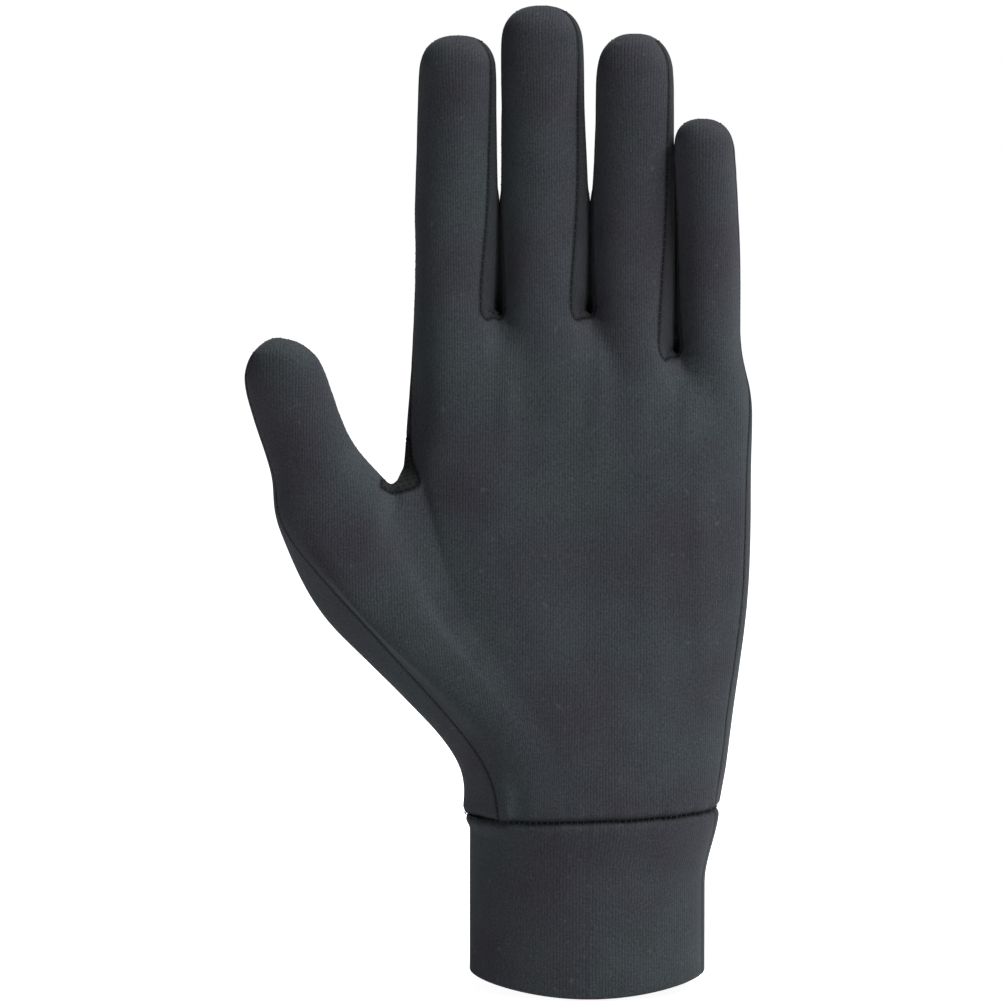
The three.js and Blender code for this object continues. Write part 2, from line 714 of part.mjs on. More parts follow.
// Which cells and points meet at each point and edge of a net.
function neighbours({ points, cells }) {
  const edges = new Map();
  const around = points.map(() => ({ edges: new Set(), opposite: [], cells: [] }));
  cells.forEach((corners, cell) => {
    corners.forEach((from, i) => {
      const to = corners[(i + 1) % 4];
      const key = Math.min(from, to) * points.length + Math.max(from, to);
      if (!edges.has(key)) edges.set(key, { from, to, cells: [] });
      edges.get(key).cells.push(cell);
      around[from].edges.add(key);
      around[to].edges.add(key);
      around[from].opposite.push(corners[(i + 2) % 4]);
      around[from].cells.push(cell);
    });
  });
  return { edges, around };
}

const average = (vectors) =>
  vectors.reduce((sum, v) => sum.add(v), point(0, 0, 0)).divideScalar(vectors.length);

// The point at the other end of an edge.
const otherEnd = (edge, from) => (edge.from === from ? edge.to : edge.from);

// Where each point of a net ends up on the smooth surface that endless subdivision leads to.
function smoothPoints(net) {
  const { edges, around } = neighbours(net);
  return net.points.map((own, number) => {
    const met = [...around[number].edges].map((key) => edges.get(key));
    const open = met.filter((edge) => edge.cells.length === 1);
    if (open.length) {
      const [a, b] = open.map((edge) => net.points[otherEnd(edge, number)]);
      return own.clone().multiplyScalar(4).add(a).add(b).divideScalar(6);
    }
    const n = met.length;
    const sum = own.clone().multiplyScalar(n * n);
    met.forEach((edge) => sum.addScaledVector(net.points[otherEnd(edge, number)], 4));
    around[number].opposite.forEach((other) => sum.add(net.points[other]));
    return sum.divideScalar(n * (n + 5));
  });
}

// Moves the points of a net outwards until the smooth surface runs through where they were.
function fitted(net) {
  const wanted = net.points;
  const result = { ...net, points: wanted.map((v) => v.clone()) };
  for (let round = 0; round < FIT_ROUNDS; round += 1) {
    smoothPoints(result).forEach((reached, i) => {
      result.points[i].add(wanted[i]).sub(reached);
    });
  }
  return result;
}

// One round of Catmull and Clark's subdivision: each cell becomes four, of the same panel.
function subdivided(net) {
  const { edges, around } = neighbours(net);
  const inCell = net.cells.map((corners) => average(corners.map((i) => net.points[i])));
  const isOpen = (edge) => edge.cells.length === 1;
  const points = net.points.map((own, number) => {
    const met = [...around[number].edges].map((key) => edges.get(key));
    const open = met.filter(isOpen);
    if (open.length) {
      const [a, b] = open.map((edge) => net.points[otherEnd(edge, number)]);
      return own.clone().multiplyScalar(6).add(a).add(b).divideScalar(8);
    }
    const n = met.length;
    const cellMiddle = average(around[number].cells.map((cell) => inCell[cell]));
    const edgeMiddle = average(
      met.map((edge) => net.points[edge.from].clone().lerp(net.points[edge.to], 0.5)),
    );
    return cellMiddle
      .addScaledVector(edgeMiddle, 2)
      .addScaledVector(own, n - 3)
      .divideScalar(n);
  });
  const edgeNumber = new Map();
  edges.forEach((edge, key) => {
    const ends = [net.points[edge.from], net.points[edge.to]];
    const cells = isOpen(edge) ? [] : edge.cells.map((cell) => inCell[cell]);
    edgeNumber.set(key, points.push(average([...ends, ...cells])) - 1);
  });
  const result = { points, cells: [], owners: [] };
  net.cells.forEach((corners, cell) => {
    const middle = points.push(inCell[cell]) - 1;
    const sides = corners.map((from, i) => {
      const to = corners[(i + 1) % 4];
      return edgeNumber.get(Math.min(from, to) * net.points.length + Math.max(from, to));
    });
    corners.forEach((corner, i) => {
      result.cells.push([corner, sides[i], middle, sides[(i + 3) % 4]]);
      result.owners.push(net.owners[cell]);
    });
  });
  return result;
}

// The outward direction at each point of a net.
function outwards({ points, cells }) {
  const sums = points.map(() => point(0, 0, 0));
  cells.forEach(([a, b, c, d]) => {
    const normal = points[c].clone().sub(points[a]).cross(points[d].clone().sub(points[b]));
    [a, b, c, d].forEach((corner) => sums[corner].add(normal));
  });
  return sums.map((sum) => sum.normalize());
}

// How far each point on a panel's edge moves into the panel, so that seams keep their gap.
function seamMoves(points, normals, cells) {
  const open = new Map();
  cells.forEach((corners) => {
    corners.forEach((from, i) => {
      const to = corners[(i + 1) % 4];
      if (open.has(to + " " + from)) open.delete(to + " " + from);
      else open.set(from + " " + to, [from, to]);
    });
  });
  const inwards = new Map();
  const edges = [...open.values()];
  edges.forEach(([from, to]) => {
    const direction = points[to].clone().sub(points[from]);
    [from, to].forEach((end) => {
      const side = normals[end].clone().cross(direction).normalize();
      inwards.set(end, [...(inwards.get(end) ?? []), side]);
    });
  });
  const moves = new Map();
  inwards.forEach(([a, b], number) => {
    const both = a.clone().add(b);
    moves.set(number, both.multiplyScalar(SEAM_GAP / 2 / Math.max(1 + a.dot(b), 0.5)));
  });
  return { edges, moves };
}

// A closed solid from triangles given as corners in space.
function solidGeometry(triangles) {
  const corners = triangles.flat().flatMap((v) => [v.x, v.y, v.z]);
  const geometry = new THREE.BufferGeometry();
  geometry.setAttribute("position", new THREE.Float32BufferAttribute(corners, 3));
  geometry.computeVertexNormals();
  return geometry;
}

const twoTriangles = (a, b, c, d) => [
  [a, b, c],
  [a, c, d],
];

// One panel of cloth: its outer skin, the same skin one cloth further in, and the edge between them.
function panelGeometry(skin, normals, name) {
  const cells = skin.cells.filter((_, i) => skin.owners[i] === name);
  const { edges, moves } = seamMoves(skin.points, normals, cells);
  const outer = skin.points.map((v, i) => (moves.has(i) ? v.clone().add(moves.get(i)) : v));
  const inner = outer.map((v, i) => v.clone().addScaledVector(normals[i], -CLOTH));
  const triangles = cells.flatMap(([a, b, c, d]) => [
    ...twoTriangles(outer[a], outer[b], outer[c], outer[d]),
    ...twoTriangles(inner[d], inner[c], inner[b], inner[a]),
  ]);
  edges.forEach(([from, to]) => {
    triangles.push(...twoTriangles(inner[from], inner[to], outer[to], outer[from]));
  });
  return solidGeometry(triangles);
}

function cuffGeometry() {
  const rings = CUFF_PROFILE.map(({ down, depth }) =>
    Array.from({ length: CUFF_FACETS }, (_, i) => {
      const angle = (2 * Math.PI * i) / CUFF_FACETS;
      const rightwards = (1 + Math.sin(angle)) / 2;
      const end = mix(CUFF_NARROWS.left, CUFF_NARROWS.right, rightwards);
      const narrowing = THREE.MathUtils.smoothstep(down, 0, end);
      const width = mix(WRIST_WIDTH, CUFF_WIDTH, narrowing) / 2 - depth;
      const thickness = mix(WRIST_THICKNESS, CUFF_THICKNESS, narrowing) / 2 - depth;
      const x = mix(WRIST_SHIFT, 0, narrowing) + width * Math.sin(angle);
      const top = seamHeight(x) - SEAM_GAP;
      const hem = (-HEM_DIP / 2) * Math.cos(2 * angle);
      return point(x, -thickness * Math.cos(angle), mix(top, hem, down));
    }),
  );
  const triangles = rings.flatMap((ring, row) => {
    const next = rings[(row + 1) % rings.length];
    return ring.flatMap((v, i) => {
      const j = (i + 1) % CUFF_FACETS;
      return twoTriangles(next[i], next[j], ring[j], v);
    });
  });
  return solidGeometry(triangles);
}

function named(name, geometry) {
  const material = new THREE.MeshStandardMaterial({
    color: COLOURS[name],
    roughness: ROUGHNESS,
    metalness: 0,
  });
  const mesh = new THREE.Mesh(geometry, material);
  mesh.name = name;
  return mesh;
}

const finer = subdivided(fitted(buildNet()));
const skin = { ...finer, points: smoothPoints(finer) };
const normals = outwards(skin);

const liner = new THREE.Group();
liner.name = "glove_liner";
[...new Set(skin.owners)].forEach((name) => {
  liner.add(named(name, panelGeometry(skin, normals, name)));
});
liner.add(named("cuff", cuffGeometry()));

export default liner;
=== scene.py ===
"""A thin knitted glove liner for the left hand, standing up and filled as if worn.

Lengths in the tables are millimetres, and every mesh is made in metres. The palm faces -Y, the fingers
point to +Z and the thumb lies towards -X. The origin is the middle of the opening at the hem.
"""

from __future__ import annotations

import itertools
import logging
import math
from collections.abc import Callable, Iterable, Sequence
from dataclasses import dataclass, field
from enum import Enum

import bpy
import numpy as np
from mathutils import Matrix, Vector


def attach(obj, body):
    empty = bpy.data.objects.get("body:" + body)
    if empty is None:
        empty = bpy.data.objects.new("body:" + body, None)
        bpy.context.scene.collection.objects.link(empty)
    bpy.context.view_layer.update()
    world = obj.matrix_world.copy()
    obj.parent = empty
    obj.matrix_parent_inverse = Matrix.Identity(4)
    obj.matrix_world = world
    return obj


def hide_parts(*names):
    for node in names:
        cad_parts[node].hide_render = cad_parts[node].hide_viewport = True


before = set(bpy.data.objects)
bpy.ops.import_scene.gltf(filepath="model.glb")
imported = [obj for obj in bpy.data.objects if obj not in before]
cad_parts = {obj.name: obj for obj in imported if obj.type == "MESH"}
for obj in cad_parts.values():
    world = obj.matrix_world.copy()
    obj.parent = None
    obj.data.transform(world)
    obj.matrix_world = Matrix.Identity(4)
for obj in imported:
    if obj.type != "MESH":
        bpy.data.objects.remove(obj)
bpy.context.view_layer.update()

LOG = logging.getLogger("glove_liner")

Array = np.ndarray
Table = dict[str, tuple[float, ...]]
Socket = bpy.types.NodeSocket

MILLIMETRE = 0.001
UV_PER_MILLIMETRE = 0.1
BODY = "root"


class Panel(Enum):
    """The cut pieces of the hand, by the name of the solid that each one stands for."""

    PALM = "palm_panel"
    BACK = "back_panel"
    INDEX_MIDDLE = "fourchette_index_middle"
    MIDDLE_RING = "fourchette_middle_ring"
    RING_LITTLE = "fourchette_ring_little"
    GUSSET = "thumb_gusset"


class Side(Enum):
    """The two faces of the hand, and the way each one looks along Y."""

    FRONT = -1
    BACK = 1


HAND_ROWS: Table = {
    "left_rise": (0, 0.151, 0.33, 0.545, 0.749),
    "left_out": (0, 0.017, 0.213, 0.545, 0.825),
    "right_rise": (0, 0.12, 0.288, 0.475, 0.7),
    "right_out": (0, 0.22, 0.44, 0.72, 0.94),
    "thickness": (1, 0.98, 0.93, 0.87, 0.8),
    "seam": (0.134, 0.108, 0.093, 0.087, 0.064),
    "fork": (0, 0, 0, 0, 0.2),
    "form": (0, 0.05, 0.2, 0.45, 0.75),
}
WRIST_SHARES = {
    Side.FRONT: (0.134, 0.3, 0.36, 0.975),
    Side.BACK: (0.05, 0.26, 0.31, 0.96),
}
PALM_FRONT = (0.047, 0.985)
PALM_BACK = (0.05, 0.965)
MIDWAY = {"rise": 0.62, "front": 0.008, "back": 0.06, "bulge": 0.018, "form": 0.5, "fork": 0}
GUSSET_DIP = {"rise": 0.37, "columns": 3}
BACK_DROPS = {"thumb": 0.25, "web": 0.5, "palm": 0.4, "finger_left": 0.35, "finger_right": 0.15}
SQUARENESS = {"wrist": 2.1, "palm": 2.5, "knuckles": 2.6}
CLIMB_POWER = 5
CURL_POWER = 1.8
REACH_POWER = 1.3
HOLLOW = {"middle": 0.45, "spread": 0.22}
FINGERS: Table = {
    "length": (70.5, 78, 71, 59.7),
    "width": (0.242, 0.252, 0.241, 0.18),
    "lean": (0.6, -1.2, -0.1, -2.6),
    "taper": (0.88, 0.9, 0.885, 0.93),
    "tip": (1, 1, 1.25, 1.05),
}
FINGER_RINGS: Table = {"straight": (0.38, 0.74, 1, 1, 1), "tip": (0, 0, 0, 0.5, 0.8)}
THUMB_RINGS: Table = {"straight": (0.34, 0.68, 1, 1, 1), "tip": (0, 0, 0, 0.5, 0.8)}
FINGER_PROFILE: Table = {
    "along": (0, 0.4, 0.7, 1),
    "taper": (0, 0.2, 0.6, 1),
    "depth": (1.04, 0.92, 0.87, 0.8),
}
THUMB_PROFILE: Table = {
    "along": (0, 0.3, 0.6, 1),
    "width": (0, 0.8, 0.95, 1),
    "depth": (1, 0.9, 0.82, 0.72),
}
LEFT_OF_FINGER: Table = {
    "along": (0, 0.38, 1),
    "seam": (-65, -88, -80),
    "middle": (-105, -117, -115),
    "back": (-146, -146, -150),
}
RIGHT_OF_FINGER: Table = {
    "along": (0, 0.38, 1),
    "seam": (33, 45, 62),
    "middle": (70, 76, 91),
    "back": (107, 107, 120),
}
LEFT_OF_INDEX: Table = {"along": (0, 1), "seam": (-88, -82), "middle": (-117, -115), "back": (-146, -148)}
RIGHT_OF_LITTLE: Table = {"along": (0, 1), "seam": (86, 78), "middle": (112, 108), "back": (140, 140)}
LEFT_OF_THUMB: Table = {
    "along": (0, 0.4, 1),
    "seam": (-60, -68, -66),
    "middle": (-104, -108, -112),
    "back": (-142, -143, -145),
}
RIGHT_OF_THUMB: Table = {"along": (0, 1), "seam": (62, 66), "middle": (92, 92), "back": (122, 122)}

KNIT_ROUNDS = 160
RIM_HALVES = (32, 21)
ACROSS_SEAMS = np.array([1.0, 0.2, 0.4])
SECTIONS_BELOW = -12
SECTIONS = 80
LEAST_STEEPNESS = 0.35
SOFT_PALM = {
    "from_left": (-14, -4),
    "to_right": (30, 48),
    "ahead": (1, 5),
    "to_web": (-7, -1),
    "from_cuff": (8, 20),
    "pull": 0.7,
}
SLOT_TOPS = (28, 28, 50)
SLOT = {"foot": (-8, -2), "fade": (0, 7), "across": (0.6, 0.88), "back": (-0.5, 3.0)}
TIP = {"within": 1.08, "start": 0.3, "power": 2.4}
FORK_FOLDS = {"number": 5, "turn": 1.7, "start": 3, "reach": 5.5}
THUMB_CREASE = {
    "place": 0.25,
    "curve": 0.012,
    "curve_length": 30,
    "width": 1.6,
    "swell": 0.6,
    "swell_place": 3.2,
    "swell_width": 2.2,
    "start": (0, 3),
    "end": (9, 19),
    "front": (0, 4),
}


def mix(start: float, end: float, share: float | Array) -> float | Array:
    """Gives the value at a share of the way from start to end."""
    return start + (end - start) * share


def signed_power(value: float, power: float) -> float:
    """Raises a value to a power and keeps its sign."""
    return math.copysign(abs(value) ** power, value)


def roundness(share: float, power: float) -> float:
    """Gives how far a flattened round section stands out, from 0 at its edges to 1 at its middle."""
    from_middle = min(abs(2 * share - 1), 1)
    return (1 - from_middle**power) ** (1 / power)


def along(table: Table, column: str, place: float) -> float:
    """Reads one named column of a table on a smooth curve through its rows.

    Args:
        table: Columns of equal length, one of them named along.
        column: The column to read.
        place: Where to read it, as a value of the column along.

    Returns:
        The value there.
    """
    places, values = table["along"], table[column]
    last = len(places) - 1
    row = 0
    while row < last - 1 and place > places[row + 1]:
        row += 1

    def slope(i: int) -> float:
        """Gives the steepness of the curve at a row."""
        before, after = max(i - 1, 0), min(i + 1, last)
        return (values[after] - values[before]) / (places[after] - places[before])

    span = places[row + 1] - places[row]
    t = min(max((place - places[row]) / span, 0), 1)
    leave = t * (1 - t) ** 2 * span * slope(row)
    arrive = t * t * (t - 1) * span * slope(row + 1)
    return mix(values[row], values[row + 1], t * t * (3 - 2 * t)) + leave + arrive


def gathered(numbers: Array, values: Array, size: int) -> Array:
    """Adds up rows of values that belong to the same number.

    Args:
        numbers: The number that each row belongs to.
        values: One row of values for each number.
        size: How many numbers there are.

    Returns:
        One row of sums for each number.
    """
    return np.stack([np.bincount(numbers, column, size) for column in values.T], axis=1)


def unit(vectors: Array) -> Array:
    """Scales rows of vectors to length 1."""
    return vectors / np.maximum(np.linalg.norm(vectors, axis=1, keepdims=True), 1e-9)


def smooth_step(start: float, end: float, values: Array) -> Array:
    """Rises smoothly from 0 to 1 between two values."""
    t = np.clip((values - start) / (end - start), 0, 1)
    return t * t * (3 - 2 * t)


def soft_noise(places: Array, size: float, seed: int) -> Array:
    """Gives smooth random values over space.

    Args:
        places: Rows of coordinates.
        size: How wide one bump of the noise is, in the same unit.
        seed: Another seed gives another pattern.

    Returns:
        One value from -1 to 1 for each row.
    """
    scaled = places / size
    cell = np.floor(scaled).astype(np.int64)
    part = scaled - cell
    part = part * part * (3 - 2 * part)
    factors = np.array([73856093, 19349663, 83492791])[: places.shape[1]]
    total = np.zeros(len(places))
    for corner in itertools.product((0, 1), repeat=places.shape[1]):
        code = (((cell + corner) * factors).sum(axis=1) + seed * 7919) & 0x7FFFFFFF
        code = (code * 1103515245 + 12345) & 0x7FFFFFFF
        code = ((code ^ (code >> 15)) * 48271) & 0x7FFFFFFF
        value = (code >> 7 & 0xFFFF) / 32767.5 - 1
        total += value * np.prod(np.where(corner, part, 1 - part), axis=1)
    return total


@dataclass(frozen=True)
class Bumps:
    """Layers of smooth random bumps: the width, seed and share of each."""

    layers: tuple[tuple[float, int, float], ...]

    def at(self, places: Array) -> Array:
        """Adds up the layers at each of the places."""
        return sum(share * soft_noise(places, size, seed) for size, seed, share in self.layers)


PUCKERS = Bumps(((3.2, 3, 1), (1.7, 5, 0.6)))
PUCKER_SIDES = Bumps(((2.3, 9, 0.5),))
HAND_GATHERS = Bumps(((2.6, 11, 1), (1.4, 13, 0.5)))
HAND_WAVES = Bumps(((17.0, 21, 1), (7.0, 23, 0.4)))
CUFF_GATHERS = Bumps(((2.6, 31, 1), (1.4, 33, 0.5)))
CUFF_WAVES = Bumps(((19.0, 37, 1),))


@dataclass(frozen=True)
class Digit:
    """A bent tube with a round tip. Its angle is 0 on the palm side and positive to the right."""

    length: float
    tip_length: float
    centre: Callable[[float], Array]
    across: Callable[[float], Array]
    width_at: Callable[[float], float]
    depth_at: Callable[[float], float]
    left: Table
    right: Table
    rings: Table
    slanted: bool = False

    squareness = 0.9

    def rounded(self, half: float, height: float) -> float:
        """Draws half a width or depth in to nothing at the top of the tip."""
        into_tip = min(max((height - self.length) / self.tip_length + 1, 0), 1)
        return half * math.sqrt(1 - into_tip * into_tip)

    def at(self, degrees: float, height: float) -> Array:
        """Gives the point at an angle round the digit and a height up it."""
        share = min(max(height / self.length, 0), 1)
        angle = math.radians(degrees)
        half_width = self.rounded(self.width_at(share) / 2, height)
        half_depth = self.rounded(self.depth_at(share) / 2, height)
        out = half_width * signed_power(math.sin(angle), self.squareness)
        ahead = -half_depth * signed_power(math.cos(angle), self.squareness)
        return self.centre(height) + self.across(share) * out + np.array([0, ahead, 0])

    def angles(self, share: float, cells: int) -> Ring:
        """Gives the angles of a ring's points at a share of the length, for so many cells a side."""
        start, end = along(self.left, "seam", share), along(self.right, "seam", share)
        back_start = along(self.right, "back", share)
        back_end = along(self.left, "back", share) + 360
        spread = [i / cells for i in range(cells + 1)]
        return Ring(
            front={i: mix(start, end, part) for i, part in enumerate(spread)},
            back={i: mix(back_end, back_start, part) for i, part in enumerate(spread)},
            right=along(self.right, "middle", share),
            left=along(self.left, "middle", share),
        )


@dataclass
class Ring:
    """One ring of the net: its front and back by column, and the middles of its two sides."""

    front: dict = field(default_factory=dict)
    back: dict = field(default_factory=dict)
    left: object = None
    right: object = None

    def side(self, side: Side) -> dict:
        """Gives the front or the back."""
        return self.front if side is Side.FRONT else self.back


@dataclass
class Net:
    """Points and four-sided cells of the whole outer skin, and the panel that each cell belongs to."""

    points: list = field(default_factory=list)
    cells: list = field(default_factory=list)
    owners: list = field(default_factory=list)

    def add(self, place: Array) -> int:
        """Adds a point and gives its number."""
        self.points.append(np.array(place, float))
        return len(self.points) - 1

    def strip(self, owner: Panel, lower: Sequence[int], upper: Sequence[int]) -> None:
        """Adds the cells between two rows of points."""
        for i in range(len(lower) - 1):
            self.cells.append((lower[i], lower[i + 1], upper[i + 1], upper[i]))
            self.owners.append(owner)

    def placed(self, ring: Ring) -> Ring:
        """Adds a ring's points and gives their numbers in the same places."""
        return Ring(
            front={column: self.add(place) for column, place in ring.front.items()},
            back={column: self.add(place) for column, place in ring.back.items()},
            left=None if ring.left is None else self.add(ring.left),
            right=None if ring.right is None else self.add(ring.right),
        )

    def middle(self, first: int, second: int, height: float) -> int:
        """Adds the point between two others, at a height of its own."""
        place = (self.points[first] + self.points[second]) / 2
        return self.add([place[0], place[1], height])


@dataclass(frozen=True)
class HandForm:
    """The sizes of the hand that the cloth covers, and the net of its outer skin."""

    cuff_length: float = 44
    wrist_width: float = 65.5
    wrist_thickness: float = 43
    wrist_shift: float = 1
    seam_rise: float = 2
    seam_drop: float = 0.1
    palm_length: float = 127
    palm_width: float = 88.4
    palm_thickness: float = 30
    palm_shift: float = -2.7
    palm_hollow: float = 2
    knuckle_thickness: float = 26
    finger_depth: float = 20
    finger_gap: float = 0.7
    fork_room: float = 0.8
    fork_corner: float = 1.5
    fork_tuck: float = 0.3
    fork_saddle: float = 0.5
    finger_curl: float = 11
    finger_backset: float = 1
    slender: float = 0.4
    little_fork_drop: float = 10
    back_fork_drop: float = 7.5
    thumb_fork: float = 82.5
    thumb_length: float = 46
    thumb_base: float = 30
    thumb_width: float = 20.5
    thumb_depth: float = 21
    thumb_web: float = 8.4
    thumb_spread: float = 24.5
    thumb_bend: float = 13
    thumb_ahead: float = 5
    thumb_reach: float = 16
    thumb_tip: float = 1.15
    web_rise: float = 2
    web_corner: float = 2.5
    edge_rise: float = 4
    digit_cells: int = 3
    web_cells: int = 2

    @property
    def per_digit(self) -> int:
        """Gives how many columns one digit and its web take."""
        return self.digit_cells + self.web_cells

    @property
    def last_column(self) -> int:
        """Gives the last column, on the little finger's outer side."""
        return len(FINGERS["length"]) * self.per_digit + self.digit_cells

    @property
    def palm_left(self) -> float:
        """Gives the palm's edge on the thumb's side."""
        return self.palm_shift - self.palm_width / 2

    @property
    def palm_right(self) -> float:
        """Gives the palm's edge on the little finger's side."""
        return self.palm_shift + self.palm_width / 2

    @property
    def thumb_fork_height(self) -> float:
        """Gives the height of the thumb's fork above the hem."""
        return self.cuff_length + self.thumb_fork

    @property
    def web_height(self) -> float:
        """Gives the height at which the thumb's web meets the palm."""
        return self.thumb_fork_height + self.web_rise

    @property
    def forks(self) -> list[float]:
        """Gives the heights of the three finger forks: the one beside the little finger is lower."""
        top = self.cuff_length + self.palm_length
        return [top, top, top - self.little_fork_drop]

    def seam_height(self, x: float | Array) -> float | Array:
        """Gives the height of the tilted wrist seam, higher on the little finger's side."""
        return self.cuff_length + self.seam_rise * (x - self.wrist_shift) / self.wrist_width

    def digit_columns(self, number: int) -> tuple[int, int]:
        """Gives the first and last column of a digit."""
        return number * self.per_digit, number * self.per_digit + self.digit_cells

    def web_columns(self, number: int) -> tuple[int, int]:
        """Gives the first and last column of the web to the right of a digit."""
        return number * self.per_digit + self.digit_cells, (number + 1) * self.per_digit

    def finger(self, index: int) -> Digit:
        """Makes the finger of that number, from the index finger at 0 to the little finger."""
        widths = [share * self.palm_width for share in FINGERS["width"]]
        gap = self.finger_gap
        length, width = FINGERS["length"][index], widths[index]
        lean, taper = FINGERS["lean"][index], FINGERS["taper"][index]
        whole = sum(widths) + gap * (len(widths) - 1)
        x = self.palm_shift - whole / 2 + sum(widths[:index]) + gap * index + width / 2
        base = self.forks[min(index, 2)] if index == 3 else self.forks[0]
        fullness = mix(1, width / max(widths), self.slender)

        def centre(height: float) -> Array:
            """Gives the middle of the finger at a height."""
            up = max(height / length, 0)
            ahead = self.finger_backset + self.finger_curl * up**CURL_POWER
            return np.array([x + lean * up * up, -ahead, base + height])

        return Digit(
            length=length,
            tip_length=FINGERS["tip"][index] * width * taper / 2,
            centre=centre,
            across=lambda share: np.array([1.0, 0, 0]),
            width_at=lambda share: width * mix(1, taper, along(FINGER_PROFILE, "taper", share)),
            depth_at=lambda share: (
                self.finger_depth * fullness * along(FINGER_PROFILE, "depth", share)
            ),
            left=LEFT_OF_INDEX if index == 0 else LEFT_OF_FINGER,
            right=RIGHT_OF_LITTLE if index == 3 else RIGHT_OF_FINGER,
            rings=FINGER_RINGS,
        )

    def thumb(self) -> Digit:
        """Makes the thumb: it leaves at a slant, bends back to the fingers and reaches ahead."""
        spread, bend = math.radians(self.thumb_spread), math.radians(self.thumb_bend)

        def across(share: float) -> Array:
            """Gives the direction across the thumb at a share of its length."""
            tilt = spread - bend * share
            return np.array([math.cos(tilt), 0, math.sin(tilt)])

        inner = [self.palm_left - self.thumb_web / 2, -self.thumb_ahead, self.web_height]
        base = np.array(inner) - across(0) * self.thumb_base / 2

        def centre(height: float) -> Array:
            """Gives the middle of the thumb at a height."""
            share = height / self.thumb_length
            tilt = spread - bend * share / 2
            ahead = self.thumb_reach * max(share, 0) ** REACH_POWER
            return base + np.array([-math.sin(tilt) * height, -ahead, math.cos(tilt) * height])

        return Digit(
            length=self.thumb_length,
            tip_length=self.thumb_tip * self.thumb_width / 2,
            centre=centre,
            across=across,
            width_at=lambda share: mix(
                self.thumb_base, self.thumb_width, along(THUMB_PROFILE, "width", share)
            ),
            depth_at=lambda share: self.thumb_depth * along(THUMB_PROFILE, "depth", share),
            left=LEFT_OF_THUMB,
            right=RIGHT_OF_THUMB,
            rings=THUMB_RINGS,
            slanted=True,
        )

    def finger_base(self, index: int) -> Ring:
        """Gives a finger's base ring, which meets the forks and is lower on the back."""
        finger, cells = self.finger(index), self.digit_cells
        start = finger.centre(0)[2]
        angles = finger.angles(0, cells)
        left_fork, right_fork = self.forks[max(index - 1, 0)], self.forks[min(index, 2)]

        def level(column: int, drop: float) -> float:
            """Gives the height of a column above the finger's own start."""
            fork = mix(left_fork, right_fork, column / cells)
            return fork + self.fork_corner - drop * self.back_fork_drop - start

        ring = Ring(
            front={i: finger.at(angle, level(i, 0)) for i, angle in angles.front.items()},
            back={i: finger.at(angle, level(i, 1)) for i, angle in angles.back.items()},
            left=finger.at(angles.left, level(0, BACK_DROPS["finger_left"])),
            right=finger.at(angles.right, level(cells, BACK_DROPS["finger_right"])),
        )
        if index > 0:
            ring.left[0] += self.fork_room
        if index < 3:
            ring.right[0] -= self.fork_room
        return ring

    def knuckle_ring(self) -> Ring:
        """Gives the ring through the finger forks, from the index finger to the little finger."""
        ring = Ring()
        for index in range(len(FINGERS["length"])):
            base = self.finger_base(index)
            first, _ = self.digit_columns(index + 1)
            for i in range(self.digit_cells + 1):
                ring.front[first + i] = base.front[i]
                ring.back[first + i] = base.back[i]
            if index == 0:
                ring.left = base.left
            ring.right = base.right
        for index, height in enumerate(self.forks):
            start, end = self.web_columns(index + 1)
            front = (ring.front[start] + ring.front[end]) / 2
            back = (ring.back[start] + ring.back[end]) / 2
            tuck = self.fork_tuck
            low = height - self.back_fork_drop - 3 * tuck
            ring.front[start + 1] = np.array([front[0], front[1] + tuck, height - 2 * tuck])
            ring.back[start + 1] = np.array([back[0], back[1] - tuck, low])
        return ring

    def valley_place(self, ring: dict, column: int, depth: float) -> float:
        """Gives a column's Y when the valley of the web beside it is filled up.

        Args:
            ring: The front or back of the ring above, by column.
            column: The column.
            depth: The share of the valley's depth that is left.

        Returns:
            The Y of the point.
        """
        web = math.floor((column - self.digit_cells - 1) / self.per_digit + 0.5)
        start, end = self.web_columns(web)
        first, second = ring.get(start - 1), ring.get(end + 1)
        own = ring[column]
        if first is None or second is None or own[0] <= first[0] or own[0] >= second[0]:
            return own[1]
        filled = mix(first[1], second[1], (own[0] - first[0]) / (second[0] - first[0]))
        return mix(filled, own[1], depth)

    def fork_ring(self, knuckles: Ring) -> Ring:
        """Gives the ring through the thumb fork: the base of the thumb, the web and the palm."""
        ring, thumb, cells = Ring(), self.thumb(), self.digit_cells
        drop = self.back_fork_drop
        angles = thumb.angles(0, cells)
        for i in range(cells + 1):
            ring.front[i] = thumb.at(angles.front[i], 0)
            ring.back[i] = thumb.at(angles.back[i], -BACK_DROPS["thumb"] * drop * i / cells)
        ring.left = thumb.at(angles.left, 0)
        base = self.thumb_fork_height
        for side, edges in ((Side.FRONT, PALM_FRONT), (Side.BACK, PALM_BACK)):
            above = knuckles.side(side)
            start, end = above[self.per_digit][0], above[self.last_column][0]
            for column in range(self.per_digit, self.last_column + 1):
                share = mix(edges[0], edges[1], (above[column][0] - start) / (end - start))
                y = side.value * self.palm_thickness * roundness(share, SQUARENESS["palm"]) / 2
                z = base + row_height(self.web_rise, self.edge_rise, share)
                if side is Side.FRONT:
                    y += self.hollow_at(share)
                else:
                    z -= BACK_DROPS["palm"] * drop * (1 - share)
                x = mix(self.palm_left, self.palm_right, share)
                ring.side(side)[column] = np.array([x, y, z])
        ring.right = np.array([self.palm_right, 0, base + self.edge_rise])
        start, end = self.web_columns(0)
        for side, height in ((Side.FRONT, base), (Side.BACK, base - BACK_DROPS["web"] * drop)):
            row = ring.side(side)
            row[start + 1] = (row[start] + row[end]) / 2
            row[start + 1][2] = height
        return ring

